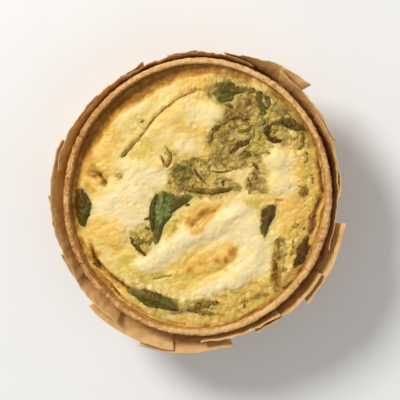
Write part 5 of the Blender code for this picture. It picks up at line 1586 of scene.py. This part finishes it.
def make_onion_and_highlights():
    """Softened slivers in the olive patch, half sunk; a few pale ones stand for painted highlights."""
    pile = Pile()
    for line, radii, heights, tone in SLIVERS:
        count = 9 * len(line)
        flat = spline(line, count)
        t = np.linspace(0, 1, count)
        radius = np.interp(t, np.linspace(0, 1, len(radii)), radii) * (1 + 0.18 * N_LEAF(t * 7, t * 0 + line[0][0]))
        lift = np.interp(t, np.linspace(0, 1, len(heights)), heights)
        z = SKIN(flat[:, 0], flat[:, 1])
        z = np.convolve(np.pad(z, 3, mode="edge"), np.ones(7) / 7, "valid") + 0.75 * lift - 0.10
        radius = 1.3 * radius
        shade = np.clip(tone + 0.35 * N_LEAF(t * 4, t * 0 + line[0][1]), 0, 1)
        pile.add_tube(np.stack([flat[:, 0], flat[:, 1], z], -1), radius, sides=14, flat=0.36, tone=shade)
    rng = np.random.default_rng(91)
    for cx, cy, a, b, turn, strength in SCATTER[:7]:
        for _ in range(int(round(a * b * 0.03))):
            u, v = rng.normal(0, 0.48, 2)
            c, s = math.cos(math.radians(turn)), math.sin(math.radians(turn))
            x, y = cx + u * a * c - v * b * s, cy + u * a * s + v * b * c
            if math.hypot(x, y) > 42.0:
                continue
            way, size = rng.uniform(0, math.pi), rng.uniform(1.2, 2.6)
            bend = rng.uniform(-0.9, 0.9)
            step = np.array([math.cos(way), math.sin(way)]) * size
            step2 = np.array([math.cos(way + bend), math.sin(way + bend)]) * size
            line = spline((np.array([x, y]) - step, np.array([x, y]), np.array([x, y]) + step2), 16)
            z = SKIN(line[:, 0], line[:, 1])
            z = np.convolve(np.pad(z, 2, mode="edge"), np.ones(5) / 5, "valid") + rng.uniform(-0.1, 0.2)
            t = np.linspace(0, 1, 16)
            radius = rng.uniform(0.34, 0.60) * (0.5 + 0.5 * np.sin(math.pi * t) + 0.15 * N_LEAF(t * 7, t * 0 + x))
            pile.add_tube(np.stack([line[:, 0], line[:, 1], z - 0.1], -1), 1.2 * radius, sides=10, flat=0.4,
                          tone=rng.uniform(0.4, 1.0))
    obj = pile.make("onion_and_highlight_slivers", onion_and_highlight_surface)
    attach(obj, "root")


# ---------------------------------------------------------------- the paper case


def paper_line(angle, lean, done, length):
    """(radius, z) of the paper's middle, done from 0 at the foot's fold to 1 at the free edge."""
    fold = 1.5
    slope = math.atan2(RIM_RADIUS - BASE_RADIUS, RIM_HEIGHT - FOOT_Z)
    foot = 0.12
    arc = fold * (math.pi / 2 - slope * 0)
    wall_length = PEEL_HEIGHT - foot - fold
    travelled = done * (arc + wall_length + length)
    start_r = outer_radius(foot + fold) + 0.32
    radius, z = np.zeros_like(travelled), np.zeros_like(travelled)
    on_arc = travelled <= arc
    turn = np.clip(travelled / fold, 0, math.pi / 2)
    radius = np.where(on_arc, start_r - fold + fold * np.sin(turn), radius)
    z = np.where(on_arc, foot + fold * (1 - np.cos(turn)), z)
    up = np.clip(travelled - arc, 0, wall_length)
    on_wall = (~on_arc) & (travelled <= arc + wall_length)
    wall_z = foot + fold + up
    radius = np.where(on_wall, outer_radius(wall_z) + 0.32, radius)
    z = np.where(on_wall, wall_z, z)
    s = np.clip(travelled - arc - wall_length, 0, None)
    bend = np.maximum(1e-3, np.radians(lean)) / TAB_LENGTH
    along = np.sin(bend * s) / bend
    out = (1 - np.cos(bend * s)) / bend
    free = travelled > arc + wall_length
    radius = np.where(free, outer_radius(PEEL_HEIGHT) + 0.32 + along * math.sin(slope) + out * math.cos(slope), radius)
    z = np.where(free, PEEL_HEIGHT + along * math.cos(slope) - out * math.sin(slope), z)
    return radius + bulge(angle, z), z, s


def make_paper():
    """One round of thin paper, slit into tabs that overlap as they run up the pastry."""
    columns, rows = 39, 68
    pitch = 2 * math.pi / TABS
    rng = np.random.default_rng(55)
    lengths = TAB_LENGTH * rng.uniform(0.95, 1.03, TABS)
    pile_points, pile_faces, grease_and_shade_marks, crease_marks = [], [], [], []
    # rounds of the flat base, shared by all the tabs
    fold_r = outer_radius(1.6) + 0.32 - 1.5
    around = TABS * (columns - 1)
    a = TAB_START + np.arange(around) * 2 * math.pi / around
    base_r = [fold_r * f for f in (0.12, 0.3, 0.5, 0.7, 0.86, 0.96)]
    points = [np.array([[0, 0, 0.12]])]
    for r in base_r:
        z = 0.12 + 0.05 * np.abs(fbm(N_PAPER, r * np.cos(a), r * np.sin(a), 14.0, 3))
        points.append(np.stack([r * np.cos(a), r * np.sin(a), z], -1))
    faces_q, faces_t = [], []
    j = np.arange(around)
    k = (j + 1) % around
    faces_t.append(np.stack([np.zeros(around, int), 1 + j, 1 + k], -1))
    for i in range(len(base_r) - 1):
        faces_q.append(np.stack([1 + i * around + j, 1 + (i + 1) * around + j, 1 + (i + 1) * around + k, 1 + i * around + k], -1))
    last_ring = 1 + (len(base_r) - 1) * around
    count = 1 + len(base_r) * around
    grease_and_shade_marks.append(np.full(count, 0.62))
    crease_marks.append(np.zeros(count))
    # the rows up to the slit's foot, shared too
    shared = 4
    done_all = np.concatenate([np.linspace(0, 0.07, shared), np.linspace(0.07, 1, rows - shared + 1)[1:]])
    lean_flat = np.zeros(around)
    previous = last_ring
    for i in range(shared):
        r, z, _ = paper_line(a, lean_flat, np.full(around, done_all[i]), TAB_LENGTH)
        points.append(np.stack([r * np.cos(a), r * np.sin(a), z], -1))
        start = count
        faces_q.append(np.stack([previous + j, start + j, start + k, previous + k], -1))
        previous = start
        count += around
        grease_and_shade_marks.append(np.full(around, 0.6))
        crease_marks.append(np.full(around, 0.5 if i in (1, 2) else 0.0))
    # the free part of each tab, wider than its share of the wall
    for tab in range(TABS):
        lean_a, lean_b = TAB_LEAN[tab]
        before, after = TAB_LEAN[(tab - 1) % TABS][1], TAB_LEAN[(tab + 1) % TABS][0]
        outer_a, outer_b = lean_a > before, lean_b >= after
        u = np.linspace(-1, 1, columns)[None, :]
        done = done_all[shared:][:, None]
        grow = (done - done_all[shared - 1]) / (1 - done_all[shared - 1])
        spread = 1.0 + 0.56 * grow**1.15 + 0.03 * math.sin(tab * 2.3)* grow
        angle = TAB_START + (tab + 0.5) * pitch + 0.5 * pitch * u * spread
        share = np.clip(0.5 + 0.5 * u * np.ones_like(done), 0, 1)
        lean = lean_a + (lean_b - lean_a) * smoothstep(0.0, 1.0, share)
        r, z, free = paper_line(angle, lean, done * np.ones_like(u), lengths[tab])
        # shingled edges, and paper that won't lie quite flat
        lift_a, lift_b = (0.62 if outer_a else 0.10), (0.62 if outer_b else 0.10)
        lap = lift_a * (1 - share) + lift_b * share
        normal_out = np.cos(np.radians(lean) * np.clip(free / TAB_LENGTH, 0, 1))
        away = lap * smoothstep(0.0, 0.22, grow)
        seed = tab * 13.7
        across = u * 9.0 * spread
        run = done * 34.0
        buckle = fbm(N_PAPER, across + seed, run * 0.45, 7.0, 3)
        small = fbm(N_PAPER, across * 1.0 - seed, run + 50, 2.2, 3)
        # sharp folds where it was crumpled into the mould, most of them upright
        bent = np.abs(fbm(N_PAPER, across * 1.6 + seed, run * 0.55 + 20, 8.0, 2))
        crossing = np.abs(fbm(N_PAPER, across * 0.8 - seed * 2, run * 1.1 - 35, 7.0, 2))
        crinkle = (1 - smoothstep(0.0, 0.22, bent)) - 0.7 * (1 - smoothstep(0.0, 0.20, crossing))
        away = away + (0.16 + 0.55 * smoothstep(2, TAB_LENGTH, free)) * buckle + (0.05 + 0.09 * smoothstep(0, 8, free)) * small
        away = away + (0.19 + 0.08 * smoothstep(0, 8, free)) * crinkle * smoothstep(0.0, 0.12, grow)
        crease = np.zeros_like(away)
        for _ in range(3):
            place, slant, tall = rng.uniform(-0.8, 0.8), rng.uniform(-0.25, 0.25), rng.uniform(-0.5, 0.5)
            d = np.abs(u - place - slant * (grow - 0.5)) * 10.0
            sharp = np.exp(-d / 1.4)
            away = away + tall * sharp * smoothstep(0.25, 0.9, grow)
            crease = np.maximum(crease, np.exp(-((d / 0.35) ** 2)) * smoothstep(0.2, 0.6, grow) * abs(tall) * 1.6)
        away = np.maximum(away, 0.0 - 0.9 * smoothstep(3, TAB_LENGTH, free))
        r = r + away * normal_out
        z = z - away * np.sqrt(np.clip(1 - normal_out**2, 0, 1))
        # the free corners curl a little, outwards on most tabs and inwards on every third
        corner = smoothstep(0.72, 1.0, np.abs(u)) * smoothstep(0.80, 1.0, grow)
        r = r + 0.5 * corner * (1 if tab % 3 else -0.6)
        p = np.stack([r * np.cos(angle), r * np.sin(angle), z], -1)
        start = count
        points.append(p.reshape(-1, 3))
        n_rows = p.shape[0]
        count += n_rows * columns
        first = tab * (columns - 1)
        below = previous + (first + np.arange(columns)) % around
        top = start + np.arange(columns)
        faces_q.append(np.stack([below[:-1], top[:-1], top[1:], below[1:]], -1))
        faces_q.append(grid_faces(n_rows, columns, start, flip=True))
        # greasier low on each tab, where it lies on the pastry; four tabs get extra, which is painted shade on the tabs
        # that lie in shade, and grease
        dry = smoothstep(4, TAB_LENGTH, free)
        grease_and_shade_marks.append((0.52 - 0.44 * dry + 0.34 * fbm(N_PAPER, across + seed * 2, run, 11.0, 2)
                          + (0.20 if tab in (3, 4, 6, 13) else 0.0)).ravel())
        edge = np.maximum(smoothstep(0.965, 1.0, np.abs(u)) * smoothstep(0.1, 0.3, grow), smoothstep(0.985, 1.0, grow))
        folds = 0.30 * np.exp(-((bent / 0.022) ** 2)) + 0.24 * np.exp(-((crossing / 0.020) ** 2))
        crease_marks.append(np.clip(np.maximum(crease, folds) + 0.55 * edge, 0, 1).ravel())
    marks = {"grease_and_shade": np.concatenate(grease_and_shade_marks), "crease": np.concatenate(crease_marks)}
    obj = new_mesh("paper_liner", np.concatenate(points), [np.concatenate(faces_q), np.concatenate(faces_t)],
                   paper_surface, marks=marks)
    thick = obj.modifiers.new("paper thickness", "SOLIDIFY")
    thick.thickness = 0.14 * MM
    thick.offset = 0.0
    thick.use_rim = True
    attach(obj, "root")
    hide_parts("paper_case")
    return obj


# ---------------------------------------------------------------- crumbs


def make_crumbs():
    """Pastry crumbs on the filling, near its border by the rim."""
    pile = Pile()
    rng = np.random.default_rng(33)
    n = 7
    turn = np.linspace(0, 2 * math.pi, n, endpoint=False)
    for _ in range(46):
        a = rng.uniform(0, 2 * math.pi)
        r = FILL_EDGE + bulge(a, 33.9) - rng.uniform(0.6, 7.0) * rng.uniform(0.3, 1.0)
        x, y = r * math.cos(a), r * math.sin(a)
        size = 0.16 + 0.34 * rng.uniform() ** 2
        z = float(SKIN(x, y) + imprints(np.array(x), np.array(y))) + size * 0.35
        rings = []
        for level, wide in ((-0.75, 0.55), (-0.2, 1.0), (0.35, 0.85), (0.8, 0.4)):
            rr = size * wide * rng.uniform(0.7, 1.2, n)
            rings.append(np.stack([x + rr * np.cos(turn), y + rr * np.sin(turn), np.full(n, z + level * size)], -1))
        points = np.concatenate(rings + [[[x, y, z - size]], [[x, y, z + size]]])
        j = np.arange(n)
        k = (j + 1) % n
        caps = np.concatenate([
            np.stack([np.full(n, 4 * n), k, j], -1), np.stack([np.full(n, 4 * n + 1), 3 * n + j, 3 * n + k], -1),
        ])
        pile.add(points, grid_faces(4, n, wrap=True), caps, toast=rng.uniform(0.0, 0.75))
    obj = pile.make("pastry_crumbs", pastry_surface)
    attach(obj, "root")


# ---------------------------------------------------------------- floor, light and camera


def make_stage():
    m = Surface("pale_floor", roughness=0.75)
    tint = m.noise(60.0, 2, 0.5)
    m.finish(m.mix(m.span(tint, 0.3, 0.7), (0.86, 0.86, 0.86), (0.84, 0.84, 0.84)))
    side = 1500.0
    floor = new_mesh("floor", [(-side, -side, 0), (side, -side, 0), (side, side, 0), (-side, side, 0)],
                     [np.array([[0, 1, 2, 3]])], m.material, smooth=False)


def add_light(name, position, size, power, colour=(1, 1, 1), target=(0, 0, 0.02)):
    data = bpy.data.lights.new(name, "AREA")
    data.shape = "DISK"
    data.size = size
    data.energy = power
    data.color = colour
    obj = bpy.data.objects.new(name, data)
    bpy.context.scene.collection.objects.link(obj)
    obj.location = position
    obj.rotation_euler = (Vector(position) - Vector(target)).to_track_quat("Z", "Y").to_euler()
    return obj


def make_lights():
    add_light("key", (-0.66, 0.70, 0.92), 0.46, 15.0, (1.0, 0.985, 0.955))
    add_light("fill", (0.80, -0.40, 1.00), 1.10, 2.2, (1.0, 1.0, 1.0))
    world = bpy.data.worlds.new("studio")
    world.use_nodes = True
    world.node_tree.nodes["Background"].inputs["Color"].default_value = (1.0, 1.0, 1.0, 1.0)
    world.node_tree.nodes["Background"].inputs["Strength"].default_value = 0.38
    bpy.context.scene.world = world


def make_camera():
    """Almost straight above, leaning a little towards the picture's upper right."""
    data = bpy.data.cameras.new("camera")
    data.sensor_width = 36.0
    data.clip_start, data.clip_end = 0.05, 10.0
    target = Vector((-0.0001, -0.0017, 0.028))
    lean = math.radians(7.5)
    way = Vector((0.63, 0.77, 0.0)).normalized()
    back = way * math.sin(lean) + Vector((0, 0, 1)) * math.cos(lean)
    distance = 0.85
    camera = bpy.data.objects.new("camera", data)
    bpy.context.scene.collection.objects.link(camera)
    camera.location = target + back * distance
    # the picture's up is +Y
    right = Vector((0, 1, 0)).cross(back).normalized()
    up = back.cross(right)
    from mathutils import Matrix
    turn = Matrix((right, up, back)).transposed()
    camera.rotation_euler = turn.to_euler()
    shown = 0.146
    data.lens = data.sensor_width * distance / shown
    bpy.context.scene.camera = camera
    view = bpy.context.scene.view_settings
    view.view_transform = "Standard"
    view.look = "None"
    view.exposure = 0.0
    view.gamma = 1.0


make_stage()
make_lights()
make_camera()
make_filling()
make_pastry()
make_spinach()
make_onion_and_highlights()
make_crumbs()
make_paper()

bpy.context.view_layer.update()
